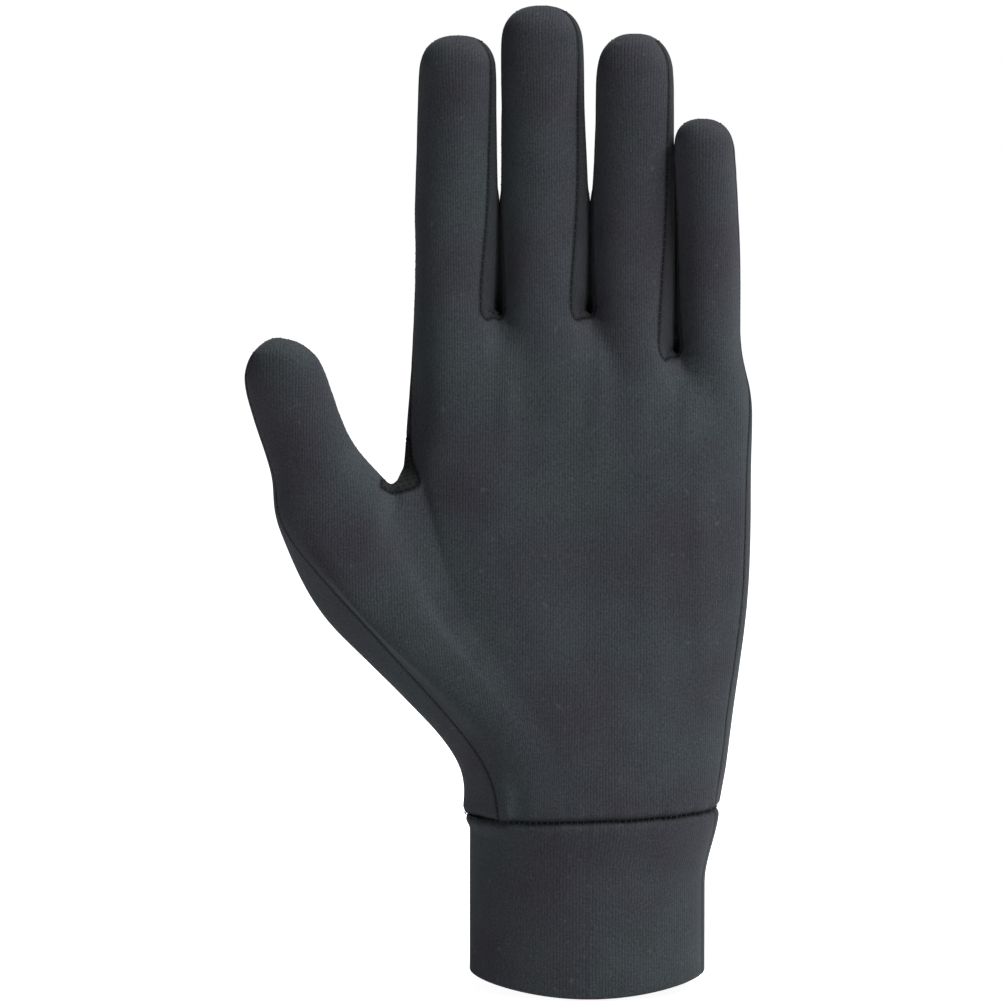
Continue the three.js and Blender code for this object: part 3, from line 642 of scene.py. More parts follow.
    def hand_ring(self, row: dict[str, float], fork: Ring) -> Ring:
        """Gives a ring between the wrist seam and the thumb fork, for a row of HAND_ROWS."""
        outer, form = fork.left, row["form"]
        wrist_left = self.wrist_shift - self.wrist_width / 2
        wrist_right = self.wrist_shift + self.wrist_width / 2
        left = mix(wrist_left, outer[0], row["left_out"])
        right = mix(wrist_right, self.palm_right, row["right_out"])
        left_height = mix(self.seam_height(wrist_left), outer[2], row["left_rise"])
        right_height = mix(self.seam_height(wrist_right), fork.right[2], row["right_rise"])
        half = self.wrist_thickness * row["thickness"] / 2
        power = mix(SQUARENESS["wrist"], SQUARENESS["palm"], form)

        def place(side: Side, column: int) -> Array:
            """Gives the point of one column."""
            top = fork.side(side)[column]
            fork_share = (top[0] - outer[0]) / (self.palm_right - outer[0])
            share = mix(self.wrist_share(side, column), fork_share, row["left_out"])
            if side is Side.FRONT and column == 0:
                share = row["seam"]
            lift = top[2] - row_height(outer[2], fork.right[2], fork_share)
            valley = self.valley_place(fork.side(side), column, row["fork"])
            flat = mix(left_height, right_height, share)
            climbing = row_height(left_height, right_height, share)
            y = side.value * half * roundness(share, power)
            z = mix(flat, climbing, form) + lift * form
            return np.array([mix(left, right, share), mix(y, valley, form), z])

        columns = range(self.last_column + 1)
        return Ring(
            front={column: place(Side.FRONT, column) for column in columns},
            back={column: place(Side.BACK, column) for column in columns},
            left=np.array([left, outer[1] * form, left_height]),
            right=np.array([right, 0, right_height]),
        )

    def wrist_share(self, side: Side, column: int) -> float:
        """Gives the share across the wrist at which a column starts."""
        thumb, thumb_end, palm, palm_end = WRIST_SHARES[side]
        if column <= self.digit_cells:
            return mix(thumb, thumb_end, column / self.digit_cells)
        if column < self.per_digit:
            return mix(thumb_end, palm, (column - self.digit_cells) / self.web_cells)
        palm_columns = self.last_column - self.per_digit
        return mix(palm, palm_end, (column - self.per_digit) / palm_columns)

    def midway_ring(self, fork: Ring, knuckles: Ring) -> Ring:
        """Gives the ring between the thumb fork and the finger forks."""
        bulge = MIDWAY["bulge"] * self.palm_width

        def rise_at(column: int) -> float:
            """Gives how far a column has risen: it dips to the top of the gusset."""
            away = (column - self.per_digit) / GUSSET_DIP["columns"]
            return MIDWAY["rise"] - GUSSET_DIP["rise"] * math.exp(-away * away)

        def place(side: Side, column: int) -> Array:
            """Gives the point of one column."""
            rise = rise_at(column)
            left = mix(self.palm_left, knuckles.left[0], rise)
            right = mix(self.palm_right, knuckles.right[0], rise) + bulge
            low, high = fork.side(side)[column], knuckles.side(side)[column]
            low_share = (low[0] - self.palm_left) / (self.palm_right - self.palm_left)
            high_share = (high[0] - knuckles.left[0]) / (knuckles.right[0] - knuckles.left[0])
            share = mix(low_share, high_share, rise)
            if column == self.per_digit:
                share = MIDWAY["front" if side is Side.FRONT else "back"]
            thickness = mix(self.palm_thickness, self.knuckle_thickness, rise / MIDWAY["rise"])
            own = side.value * thickness * roundness(share, SQUARENESS["knuckles"]) / 2
            if side is Side.FRONT:
                own += self.hollow_at(share) * (1 - rise)
            valley = self.valley_place(knuckles.side(side), column, MIDWAY["fork"])
            y, z = mix(own, valley, MIDWAY["form"]), mix(low[2], high[2], rise)
            return np.array([mix(left, right, share), y, z])

        columns = range(self.per_digit, self.last_column + 1)
        low, high = rise_at(self.per_digit), MIDWAY["rise"]
        left_start = np.array([self.palm_left, 0, self.web_height])
        left = mix(left_start, knuckles.left, low) * [1, 0, 1]
        right = mix(fork.right, knuckles.right, high) * [1, 0, 1] + [bulge, 0, 0]
        return Ring(
            front={column: place(Side.FRONT, column) for column in columns},
            back={column: place(Side.BACK, column) for column in columns},
            left=left,
            right=right,
        )

    def hollow_at(self, share: float) -> float:
        """Gives how far the hollow of the palm draws the cloth back at a share across it."""
        return self.palm_hollow * math.exp(-(((share - HOLLOW["middle"]) / HOLLOW["spread"]) ** 2))

    def band(
        self,
        net: Net,
        rings: tuple[Ring, Ring],
        columns: tuple[int, int],
        left: tuple[Panel, Panel],
        right: tuple[Panel, Panel],
    ) -> None:
        """Adds the cells between two rings that run from the same first to the same last column.

        Args:
            net: The net that takes the cells.
            rings: The lower and the upper ring, as point numbers.
            columns: The first and the last column.
            left: The panels of the left side's back and front cell.
            right: The panels of the right side's front and back cell.
        """
        first, last = columns
        fronts = [[ring.front[i] for i in range(first, last + 1)] for ring in rings]
        backs = [[ring.back[i] for i in range(last, first - 1, -1)] for ring in rings]
        net.strip(Panel.PALM, *fronts)
        net.strip(Panel.BACK, *backs)
        rights = [[ring.front[last], ring.right, ring.back[last]] for ring in rings]
        lefts = [[ring.back[first], ring.left, ring.front[first]] for ring in rings]
        for i in range(2):
            net.strip(right[i], rights[0][i : i + 2], rights[1][i : i + 2])
            net.strip(left[i], lefts[0][i : i + 2], lefts[1][i : i + 2])

    def add_digit(
        self,
        net: Net,
        digit: Digit,
        base: Ring,
        sides: tuple[tuple[Panel, Panel], tuple[Panel, Panel]],
    ) -> None:
        """Adds a digit's tube, and the cap over its tip, half of it palm and half of it back.

        Args:
            net: The net that takes the cells.
            digit: The digit.
            base: The numbers of the base ring's points.
            sides: The panels of the left and of the right side.
        """
        lower, cells = base, self.digit_cells
        straight = digit.length - digit.tip_length
        for row, part in enumerate(digit.rings["straight"]):
            height = straight * part + digit.tip_length * digit.rings["tip"][row]
            angles = digit.angles(height / digit.length, cells)
            left_share = 0 if digit.slanted else (1 - height / digit.length) ** 2

            def place(degrees: float, number: int) -> int:
                """Adds the point at an angle, which keeps some of its base point's own height."""
                start = net.points[number][2] - digit.centre(0)[2]
                return net.add(digit.at(degrees, height + start * left_share))

            upper = Ring(
                front={i: place(angles.front[i], base.front[i]) for i in range(cells + 1)},
                back={i: place(angles.back[i], base.back[i]) for i in range(cells + 1)},
                right=place(angles.right, base.right),
                left=place(angles.left, base.left),
            )
            self.band(net, (lower, upper), (0, cells), *sides)
            lower = upper
        top = digit.centre(digit.length)[2]
        inner = [net.middle(lower.front[i], lower.back[i], top) for i in range(1, cells)]
        middle = [lower.left, *inner, lower.right]
        net.strip(Panel.PALM, [lower.front[i] for i in range(cells + 1)], middle)
        net.strip(Panel.BACK, middle, [lower.back[i] for i in range(cells + 1)])

    def add_saddle(
        self,
        net: Net,
        owner: Panel,
        ring: Ring,
        web: int,
        sides: tuple[int, int],
        height: float,
    ) -> None:
        """Adds the cloth in a fork, between two digits' sides and the two edges of the web.

        Args:
            net: The net that takes the cells.
            owner: The panel that they belong to.
            ring: The numbers of the points of the ring through the fork.
            web: The number of the web.
            sides: The numbers of the side points of the digits to its left and right.
            height: The height of the saddle's middle.
        """
        start, end = self.web_columns(web)
        across = [sides[0], net.middle(sides[0], sides[1], height), sides[1]]
        net.strip(owner, [ring.front[i] for i in range(start, end + 1)], across)
        net.strip(owner, across, [ring.back[i] for i in range(start, end + 1)])

    def under_digit(self, ring: Ring, number: int, left: int, right: int) -> Ring:
        """Gives the part of a ring under one digit, with the middles of its own sides."""
        first, _ = self.digit_columns(number)
        cells = range(self.digit_cells + 1)
        front = {i: ring.front[first + i] for i in cells}
        return Ring(front, {i: ring.back[first + i] for i in cells}, left, right)

    def net(self) -> Net:
        """Builds the whole net."""
        net, thumb = Net(), self.thumb()
        knuckles = self.knuckle_ring()
        fork = self.fork_ring(knuckles)
        outside = (Panel.BACK, Panel.BACK)
        keys = list(HAND_ROWS)
        table = [dict(zip(keys, row)) for row in zip(*HAND_ROWS.values())]
        rows = [net.placed(self.hand_ring(row, fork)) for row in table] + [net.placed(fork)]
        for lower, upper in zip(rows, rows[1:]):
            self.band(net, (lower, upper), (0, self.last_column), outside, outside)
        base = rows[-1]
        corner = self.web_corner
        palm_side = net.add([self.palm_left - corner / 4, 0, self.web_height + corner])
        palm_start = Ring(base.front, base.back, palm_side, base.right)
        midway = net.placed(self.midway_ring(fork, knuckles))
        top = net.placed(knuckles)
        upper_columns = (self.per_digit, self.last_column)
        gusset = (Panel.GUSSET, Panel.GUSSET)
        self.band(net, (palm_start, midway), upper_columns, gusset, outside)
        self.band(net, (midway, top), upper_columns, outside, outside)

        inside = net.add(thumb.at(thumb.angles(0, self.digit_cells).right, 0))
        height = self.thumb_fork_height + self.fork_saddle
        self.add_saddle(net, Panel.GUSSET, base, 0, (inside, palm_side), height)
        thumb_base = self.under_digit(base, 0, base.left, inside)
        self.add_digit(net, thumb, thumb_base, (outside, (Panel.PALM, Panel.BACK)))

        strips = [Panel.INDEX_MIDDLE, Panel.MIDDLE_RING, Panel.RING_LITTLE]
        bases = []
        for index in range(4):
            own = self.finger_base(index)
            left = top.left if index == 0 else net.add(own.left)
            right = top.right if index == 3 else net.add(own.right)
            bases.append(self.under_digit(top, index + 1, left, right))
        for i, fork_height in enumerate(self.forks):
            sides = (bases[i].right, bases[i + 1].left)
            self.add_saddle(net, strips[i], top, i + 1, sides, fork_height - self.fork_saddle)
        for index in range(4):
            left = (strips[index - 1],) * 2 if index > 0 else outside
            right = (strips[index],) * 2 if index < 3 else outside
            self.add_digit(net, self.finger(index), bases[index], (left, right))
        return net


def row_height(left: float, right: float, share: float) -> float:
    """Gives the height of a row across the hand, which climbs steeply out of the thumb's side."""
    return mix(left, right, 1 - (1 - share) ** CLIMB_POWER)


@dataclass
class Skin:
    """A smooth four-sided mesh: points in millimetres, cells and the panel of each cell."""

    points: Array
    cells: Array
    owners: Array

    def edges(self) -> tuple[Array, Array, Array]:
        """Finds the edges.

        Returns:
            The two ends of each edge, the four edges of each cell, and each edge's count of cells.
        """
        ends = np.stack([self.cells, np.roll(self.cells, -1, axis=1)], axis=2).reshape(-1, 2)
        ends.sort(axis=1)
        code = ends[:, 0] * len(self.points) + ends[:, 1]
        _, first, inverse, counts = np.unique(
            code, return_index=True, return_inverse=True, return_counts=True
        )
        return ends[first], inverse.reshape(-1, 4), counts

    def around(self, edges: Array, counts: Array) -> tuple[Array, Array, Array]:
        """Adds up the points across the edges that meet at each point.

        Args:
            edges: The two ends of each edge.
            counts: How many cells each edge has.

        Returns:
            How many edges meet there, the sum of their far ends, and that sum over open edges alone.
        """
        size = len(self.points)
        both = np.concatenate([edges, edges[:, ::-1]])
        met = np.bincount(both[:, 0], minlength=size)
        far = gathered(both[:, 0], self.points[both[:, 1]], size)
        rim = both[np.tile(counts == 1, 2)]
        return met[:, None], far, gathered(rim[:, 0], self.points[rim[:, 1]], size)

    def limit(self) -> Array:
        """Gives where each point ends up on the surface that endless subdivision leads to."""
        edges, _, counts = self.edges()
        met, far, rim = self.around(edges, counts)
        opposite = self.points[np.roll(self.cells, -2, axis=1).ravel()]
        corner = gathered(self.cells.ravel(), opposite, len(self.points))
        inside = (met * met * self.points + 4 * far + corner) / (met * (met + 5))
        on_rim = np.abs(rim).sum(axis=1, keepdims=True) > 0
        return np.where(on_rim, (4 * self.points + rim) / 6, inside)

    def fitted(self, rounds: int) -> Skin:
        """Moves the points outwards until the smooth surface runs through where they were."""
        result = Skin(self.points.copy(), self.cells, self.owners)
        for _ in range(rounds):
            result.points += self.points - result.limit()
        return result

    def subdivided(self) -> Skin:
        """Cuts each cell into four by Catmull and Clark's rule. The old points keep their numbers."""
        edges, cell_edges, counts = self.edges()
        size, edge_count = len(self.points), len(edges)
        middles = self.points[self.cells].mean(axis=1)
        met, far, rim = self.around(edges, counts)
        cell_sum = gathered(self.cells.ravel(), np.repeat(middles, 4, axis=0), size)
        cells_met = np.bincount(self.cells.ravel(), minlength=size)[:, None]
        edge_mean = (self.points + far / met) / 2
        inside = (cell_sum / cells_met + 2 * edge_mean + (met - 3) * self.points) / met
        on_rim = np.abs(rim).sum(axis=1, keepdims=True) > 0
        moved = np.where(on_rim, (6 * self.points + rim) / 8, inside)
        beside = gathered(cell_edges.ravel(), np.repeat(middles, 4, axis=0), edge_count)
        ends = self.points[edges].sum(axis=1)
        shared = (ends + beside) / 4
        on_edges = np.where(counts[:, None] == 1, ends / 2, shared)
        centre = size + edge_count + np.arange(len(self.cells))
        before = np.roll(cell_edges, 1, axis=1)
        cells = [
            np.stack([self.cells[:, i], size + cell_edges[:, i], centre, size + before[:, i]], axis=1)
            for i in range(4)
        ]
        return Skin(
            np.concatenate([moved, on_edges, middles]),
            np.stack(cells, axis=1).reshape(-1, 4),
            np.repeat(self.owners, 4),
        )

    def normals(self) -> Array:
        """Gives the outward direction at each point."""
        a, b, c, d = (self.points[self.cells[:, i]] for i in range(4))
        facing = np.repeat(np.cross(c - a, d - b), 4, axis=0)
        return unit(gathered(self.cells.ravel(), facing, len(self.points)))


@dataclass
class SeamMap:
    """For each point of a skin, how far the nearest seam is and at which of its points."""

    distance: Array
    nearest: Array

    @classmethod
    def of(cls, points: Array, edges: Array, seeds: Array, reach: float) -> SeamMap:
        """Spreads out from the seams over the edges of a skin.

        Args:
            points: The skin's points.
            edges: The two ends of each of its edges.
            seeds: The numbers of the points on the seams.
            reach: How far to go, in millimetres.

        Returns:
            The map. Points out of reach have the distance twice the reach.
        """
        distance = np.full(len(points), 2 * reach)
        nearest = np.zeros(len(points), int)
        distance[seeds], nearest[seeds] = 0, seeds
        both = np.concatenate([edges, edges[:, ::-1]])
        fresh = np.zeros(len(points), bool)
        fresh[seeds] = True
        while fresh.any():
            start, end = both[fresh[both[:, 0]]].T
            far = np.linalg.norm(points[end] - points[nearest[start]], axis=1)
            better = (far < distance[end] - 1e-9) & (far < reach)
            start, end, far = start[better], end[better], far[better]
            order = np.argsort(-far)
            start, end, far = start[order], end[order], far[order]
            source = nearest[start]
            distance[end], nearest[end] = far, source
            fresh[:] = False
            fresh[end] = True
        return cls(distance, nearest)


def chains(edges: Array) -> list[list[int]]:
    """Joins edges end to end into runs that stop where more than two meet.

    Args:
        edges: The two ends of each edge.

    Returns:
        The point numbers of each run, in order. A closed run ends where it starts.
    """
    beside: dict[int, list[int]] = {}
    for first, second in edges.tolist():
        beside.setdefault(first, []).append(second)
        beside.setdefault(second, []).append(first)
    left = {(min(pair), max(pair)) for pair in edges.tolist()}
    ends = [point for point, met in beside.items() if len(met) != 2]
    runs = []
    for start in ends + sorted(beside):
        for second in beside[start]:
            if (min(start, second), max(start, second)) not in left:
                continue
            run, previous, current = [start], start, second
            while True:
                left.discard((min(previous, current), max(previous, current)))
                run.append(current)
                onwards = [
                    point
                    for point in beside[current]
                    if (min(point, current), max(point, current)) in left
                ]
                if len(beside[current]) != 2 or not onwards:
                    break
                previous, current = current, onwards[0]
            runs.append(run)
    return runs


@dataclass
class SeamLine:
    """Evenly spaced places along one seam, with the directions along it and out of the cloth."""

    places: Array
    out: Array

    @classmethod
    def of(cls, points: Array, normals: Array, run: Sequence[int], pitch: float) -> SeamLine:
        """Spaces places along a run of points.

        Args:
            points: The skin's points.
            normals: Their outward directions.
            run: The numbers of the run's points, in order.
            pitch: The distance between two places, in millimetres.

        Returns:
            The line.
        """
        own, out = points[run], normals[run]
        gone = np.concatenate([[0], np.cumsum(np.linalg.norm(np.diff(own, axis=0), axis=1))])
        wanted = np.linspace(0, gone[-1], max(int(gone[-1] / pitch), 2))
        spread = [
            np.stack([np.interp(wanted, gone, column) for column in values.T], axis=1)
            for values in (own, out)
        ]
        return cls(spread[0], unit(spread[1]))

    @property
    def forwards(self) -> Array:
        """Gives the direction along the seam at each place."""
        return unit(np.gradient(self.places, axis=0))

    @property
    def sideways(self) -> Array:
        """Gives the direction across the seam at each place."""
        return unit(np.cross(self.out, self.forwards))


def knit_directions(points: Array, normals: Array, edges: Array) -> Array:
    """Lays an even knit over a panel: across it round the hand, and up it along the wales.

    Args:
        points: The panel's points.
        normals: Their outward directions.
        edges: The two ends of each edge.

    Returns:
        Two lengths in millimetres for each point, round the hand and up it.
    """
    up = np.array([0.0, 0.0, 1.0])
    round_hand = np.cross(up, normals)
    steep = np.maximum(np.linalg.norm(round_hand, axis=1, keepdims=True), LEAST_STEEPNESS)
    round_hand = round_hand / steep
    wale = np.cross(normals, round_hand)
    start, end = edges.T
    step = points[end] - points[start]
    result = []
    size = len(points)
    degree = np.bincount(edges.ravel(), minlength=size)
    for value, direction in ((points[:, 0], round_hand), (points[:, 2], wale)):
        wanted = ((direction[start] + direction[end]) / 2 * step).sum(axis=1)

        def pull(values: Array) -> Array:
            """Applies the sum of differences over the edges to a set of values."""
            apart = values[end] - values[start]
            return np.bincount(end, apart, size) - np.bincount(start, apart, size)

        right = np.bincount(end, wanted, size) - np.bincount(start, wanted, size)
        rest = right - pull(value)
        step_way = rest / degree
        strength = (rest * step_way).sum()
        for _ in range(KNIT_ROUNDS):
            image = pull(step_way)
            share = strength / max((step_way * image).sum(), 1e-12)
            value = value + share * step_way
            rest = rest - share * image
            eased = rest / degree
            new_strength = (rest * eased).sum()
            step_way = eased + step_way * (new_strength / max(strength, 1e-12))
            strength = new_strength
        result.append(value)
    return np.stack(result, axis=1)


class Graph:
    """Adds nodes to a shader tree and joins them as they are made."""

    def __init__(self, tree: bpy.types.NodeTree) -> None:
        """Keeps the tree."""
        self.tree = tree

    def node(self, kind: str, inputs: dict | None = None, **settings: object) -> bpy.types.Node:
        """Adds a node.

        Args:
            kind: Blender's name for the node.
            inputs: Values or sockets by the name or number of the input.
            settings: Properties of the node.

        Returns:
            The node.
        """
        node = self.tree.nodes.new(kind)
        for name, value in settings.items():
            setattr(node, name, value)
        for name, value in (inputs or {}).items():
            self.put(value, node.inputs[name])
        return node

    def put(self, value: object, socket: Socket) -> None:
        """Links a socket to an input, or sets the input to a value."""
        if isinstance(value, bpy.types.NodeSocket):
            self.tree.links.new(value, socket)
        else:
            socket.default_value = value

    def math(self, operation: str, *values: object, clamp: bool = False) -> Socket:
        """Adds a sum of one to three values."""
        inputs = dict(enumerate(values))
        return self.node("ShaderNodeMath", inputs, operation=operation, use_clamp=clamp).outputs[0]

    def blend(self, share: object, first: object, second: object, way: str = "MIX") -> Socket:
        """Adds a mix of two colours."""
        inputs = {"Factor": share, "A": first, "B": second}
        node = self.node("ShaderNodeMix", data_type="RGBA", blend_type=way)
        colours = {"Factor": node.inputs[0], "A": node.inputs[6], "B": node.inputs[7]}
        for name, value in inputs.items():
            self.put(value, colours[name])
        return node.outputs[2]

    def noise(self, place: Socket, scale: float, detail: float = 2.0) -> Socket:
        """Adds a noise of so many bumps a metre, or a unit of its coordinates, from 0 to 1."""
        inputs = {"Vector": place, "Scale": scale, "Detail": detail}
        return self.node("ShaderNodeTexNoise", inputs).outputs["Fac"]

    def span(self, value: Socket, low: float, high: float, start: float, end: float) -> Socket:
        """Maps the range from low to high onto the range from start to end."""
        inputs = {0: value, 1: low, 2: high, 3: start, 4: end}
        return self.node("ShaderNodeMapRange", inputs).outputs[0]


def new_group(name: str, inputs: dict[str, float], outputs: Iterable[str]) -> tuple[Graph, dict, dict]:
    """Starts a node group with value sockets.

    Args:
        name: The group's name.
        inputs: Its inputs and what they are unless set.
        outputs: Its outputs.

    Returns:
        The graph inside it, its inputs as sockets, and the inputs of its output node.
    """
    tree = bpy.data.node_groups.new(name, "ShaderNodeTree")
    for title, value in inputs.items():
        socket = tree.interface.new_socket(title, in_out="INPUT", socket_type="NodeSocketFloat")
        socket.default_value = value
    for title in outputs:
        tree.interface.new_socket(title, in_out="OUTPUT", socket_type="NodeSocketFloat")
    graph = Graph(tree)
    start, end = graph.node("NodeGroupInput"), graph.node("NodeGroupOutput")
    return graph, dict(start.outputs.items()), dict(end.inputs.items())


def jersey_group() -> bpy.types.NodeTree:
    """Builds the group for plain jersey: columns of small V-shaped stitches."""
    graph, given, wanted = new_group(
        "Jersey knit", {"Wale": 0.7, "Course": 0.55, "Wander": 0.3}, ("Height", "Gap")
    )
    uv = graph.node("ShaderNodeUVMap", uv_map="knit").outputs[0]
    parts = graph.node("ShaderNodeSeparateXYZ", {0: uv})
    wander = graph.math("SUBTRACT", graph.noise(uv, 3.0), 0.5)
    wander = graph.math("MULTIPLY", wander, given["Wander"])
    across = graph.math("MULTIPLY", parts.outputs[0], 1 / UV_PER_MILLIMETRE)
    upwards = graph.math("MULTIPLY", parts.outputs[1], 1 / UV_PER_MILLIMETRE)
    column = graph.math("DIVIDE", graph.math("ADD", across, wander), given["Wale"])
    offset = graph.math("SUBTRACT", graph.math("FRACT", column), 0.5)
    beside = graph.math("MULTIPLY", graph.math("ABSOLUTE", offset), 2.0)
    rib = graph.math("SUBTRACT", 1.0, graph.math("POWER", beside, 2.0))
    loop = graph.noise(uv, 17.0, 2.0)
    row = graph.math("DIVIDE", upwards, given["Course"])
    turned = graph.math("MULTIPLY", graph.math("SUBTRACT", row, beside), 2 * math.pi)
    leg = graph.math("MULTIPLY_ADD", graph.math("COSINE", turned), 0.5, 0.5)
    height = graph.math("MULTIPLY", rib, graph.math("MULTIPLY_ADD", leg, 0.45, 0.55))
    graph.put(height, wanted["Height"])
    # Gap: painted shade in the low places between the stitches, with random loop tone mixed in.
    patch = graph.span(graph.noise(uv, 0.9, 1.0), 0.35, 0.65, 0.15, 0.75)
    between = graph.math("MULTIPLY", graph.math("SUBTRACT", 1.0, height), patch)
    uneven = graph.span(loop, 0.3, 0.7, -0.45, 0.75)
    graph.put(graph.math("ADD", between, uneven, clamp=True), wanted["Gap"])
    return graph.tree


def mesh_group() -> bpy.types.NodeTree:
    """Builds the group for coarse mesh knit: rows of slanting holes between round cords."""
    graph, given, wanted = new_group("Mesh knit", {"Pitch": 1.5, "Slant": 0.6}, ("Height", "Gap"))
    uv = graph.node("ShaderNodeUVMap", uv_map="knit").outputs[0]
    parts = graph.node("ShaderNodeSeparateXYZ", {0: uv})
    across = graph.math("MULTIPLY", parts.outputs[0], 1 / UV_PER_MILLIMETRE)
    upwards = graph.math("MULTIPLY", parts.outputs[1], 1 / UV_PER_MILLIMETRE)
    leaning = graph.math("MULTIPLY_ADD", upwards, given["Slant"], across)
    crossing = graph.math("MULTIPLY_ADD", across, -0.5, upwards)
    waves = []
    for value in (leaning, crossing):
        turned = graph.math("MULTIPLY", graph.math("DIVIDE", value, given["Pitch"]), 2 * math.pi)
        waves.append(graph.math("MULTIPLY_ADD", graph.math("COSINE", turned), 0.5, 0.5))
    hole = graph.math("MULTIPLY", *waves)
    height = graph.math("SUBTRACT", 1.0, graph.math("POWER", hole, 0.7))
    graph.put(height, wanted["Height"])
    # Gap: painted shade in the holes of the mesh.
    graph.put(hole, wanted["Gap"])
    return graph.tree


def fuzz_group() -> bpy.types.NodeTree:
    """Builds the group for the nap of loose fibre ends, lint and slow changes of shade."""
    graph, given, wanted = new_group(
        "Fibre nap", {"Fuzz": 2200.0, "Lint": 420.0, "Shade": 38.0}, ("Fuzz", "Lint", "Shade")
    )
    place = graph.node("ShaderNodeTexCoord").outputs["Object"]
    for title, detail in (("Fuzz", 3.0), ("Shade", 2.0)):
        graph.put(graph.noise(place, given[title], detail), wanted[title])
    spots = graph.noise(place, given["Lint"], 1.0)
    graph.put(graph.span(spots, 0.72, 0.8, 0.0, 1.0), wanted["Lint"])
    return graph.tree


class Knit(Enum):
    """The two kinds of knit that the liner is made of."""

    JERSEY = "Jersey knit"
    MESH = "Mesh knit"


@dataclass(frozen=True)
class ClothFinish:
    """One cloth: its knit, its two shades, and how rough and soft it is. Its colour also takes painted
    shade in the knit's gaps and along the seams, and painted light and shade on the raised nap.
    """

    name: str
    knit: Knit = Knit.JERSEY
    light: tuple[float, float, float] = (0.035, 0.0425, 0.0465)
    dark: tuple[float, float, float] = (0.0315, 0.0308, 0.0385)
    wale: float = 0.7
    course: float = 0.58
    # relief: how strongly the knit's gaps are darkened, which is painted shade.
    relief: float = 0.4
    roughness: float = 0.82
    sheen: float = 0.08
    # How strongly the fuzz noise changes the colour: partly random fibre tone, partly painted light and
    # shade that follow the raised nap of the bump.
    nap_grain_and_shade: float = 0.7

    # Painted shade and painted highlight for the low and the raised nap.
    shadow = (0.62, 0.62, 0.64, 1)
    shine = (1.4, 1.4, 1.38, 1)
    # Colour multiplied into the knit's gaps and holes: painted shade.
    gap_shade_tint = (0.25, 0.25, 0.27, 1)
    # Colour multiplied in along the seams: painted shade in their grooves.
    seam_shade_tint = (0.05, 0.05, 0.06, 1)
    seam_shade_share = 0.95
    lint_colour = (0.16, 0.165, 0.17, 1)
    lint_share = 0.12
    rough_spread = 0.08
    fuzz_height = 0.35
    bump_strength = 0.45
    bump_distance = 0.00022
    sheen_roughness = 0.45
    sheen_tint = (0.75, 0.8, 0.85, 1)
    specular = 0.12

    def material(self) -> bpy.types.Material:
        """Builds the material."""
        material = bpy.data.materials.new(self.name)
        material.use_nodes = True
        material.node_tree.nodes.clear()
        graph = Graph(material.node_tree)
        knit = graph.node("ShaderNodeGroup", node_tree=bpy.data.node_groups[self.knit.value])
        if self.knit is Knit.JERSEY:
            knit.inputs["Wale"].default_value = self.wale
            knit.inputs["Course"].default_value = self.course
        nap = graph.node("ShaderNodeGroup", node_tree=bpy.data.node_groups["Fibre nap"])
        shade = graph.span(nap.outputs["Shade"], 0.35, 0.65, 0.0, 1.0)
        colour = graph.blend(shade, (*self.dark, 1), (*self.light, 1))
        # Painted shade: the colour darkens in the knit's gaps and holes.
        gap = graph.math("MULTIPLY", knit.outputs["Gap"], self.relief)
        colour = graph.blend(gap, colour, self.gap_shade_tint, "MULTIPLY")
        # Painted shade along the seams and the wrist, read from the seam attribute.
        seam = graph.node("ShaderNodeAttribute", attribute_name="seam").outputs["Fac"]
        seam = graph.math("MULTIPLY", seam, self.seam_shade_share)
        colour = graph.blend(seam, colour, self.seam_shade_tint, "MULTIPLY")
        # The fuzz noise also raises the bump, so this is painted light on the raised nap and painted
        # shade in its dips, as well as random fibre tone.
        nap_grain_and_shade = graph.span(nap.outputs["Fuzz"], 0.32, 0.68, 0.0, 1.0)
        colour = graph.blend(self.nap_grain_and_shade, colour, graph.blend(nap_grain_and_shade, self.shadow, self.shine), "MULTIPLY")
        lint = graph.math("MULTIPLY", nap.outputs["Lint"], self.lint_share)
        colour = graph.blend(lint, colour, self.lint_colour)
        smooth, coarse = self.roughness - self.rough_spread, self.roughness + self.rough_spread
        rough = graph.span(nap.outputs["Fuzz"], 0.3, 0.7, smooth, coarse)
        fuzz = graph.math("MULTIPLY_ADD", nap.outputs["Fuzz"], self.fuzz_height, knit.outputs["Height"])
        relief = {"Strength": self.bump_strength, "Distance": self.bump_distance, "Height": fuzz}
        bump = graph.node("ShaderNodeBump", relief)
        shader = graph.node(
            "ShaderNodeBsdfPrincipled",
            {
                "Base Color": colour,
                "Roughness": rough,
                "Normal": bump.outputs[0],
                "Sheen Weight": self.sheen,
                "Sheen Roughness": self.sheen_roughness,
                "Sheen Tint": self.sheen_tint,
                "Specular IOR Level": self.specular,
            },
        )
        output = graph.node("ShaderNodeOutputMaterial")
        graph.put(shader.outputs[0], output.inputs["Surface"])
        return material


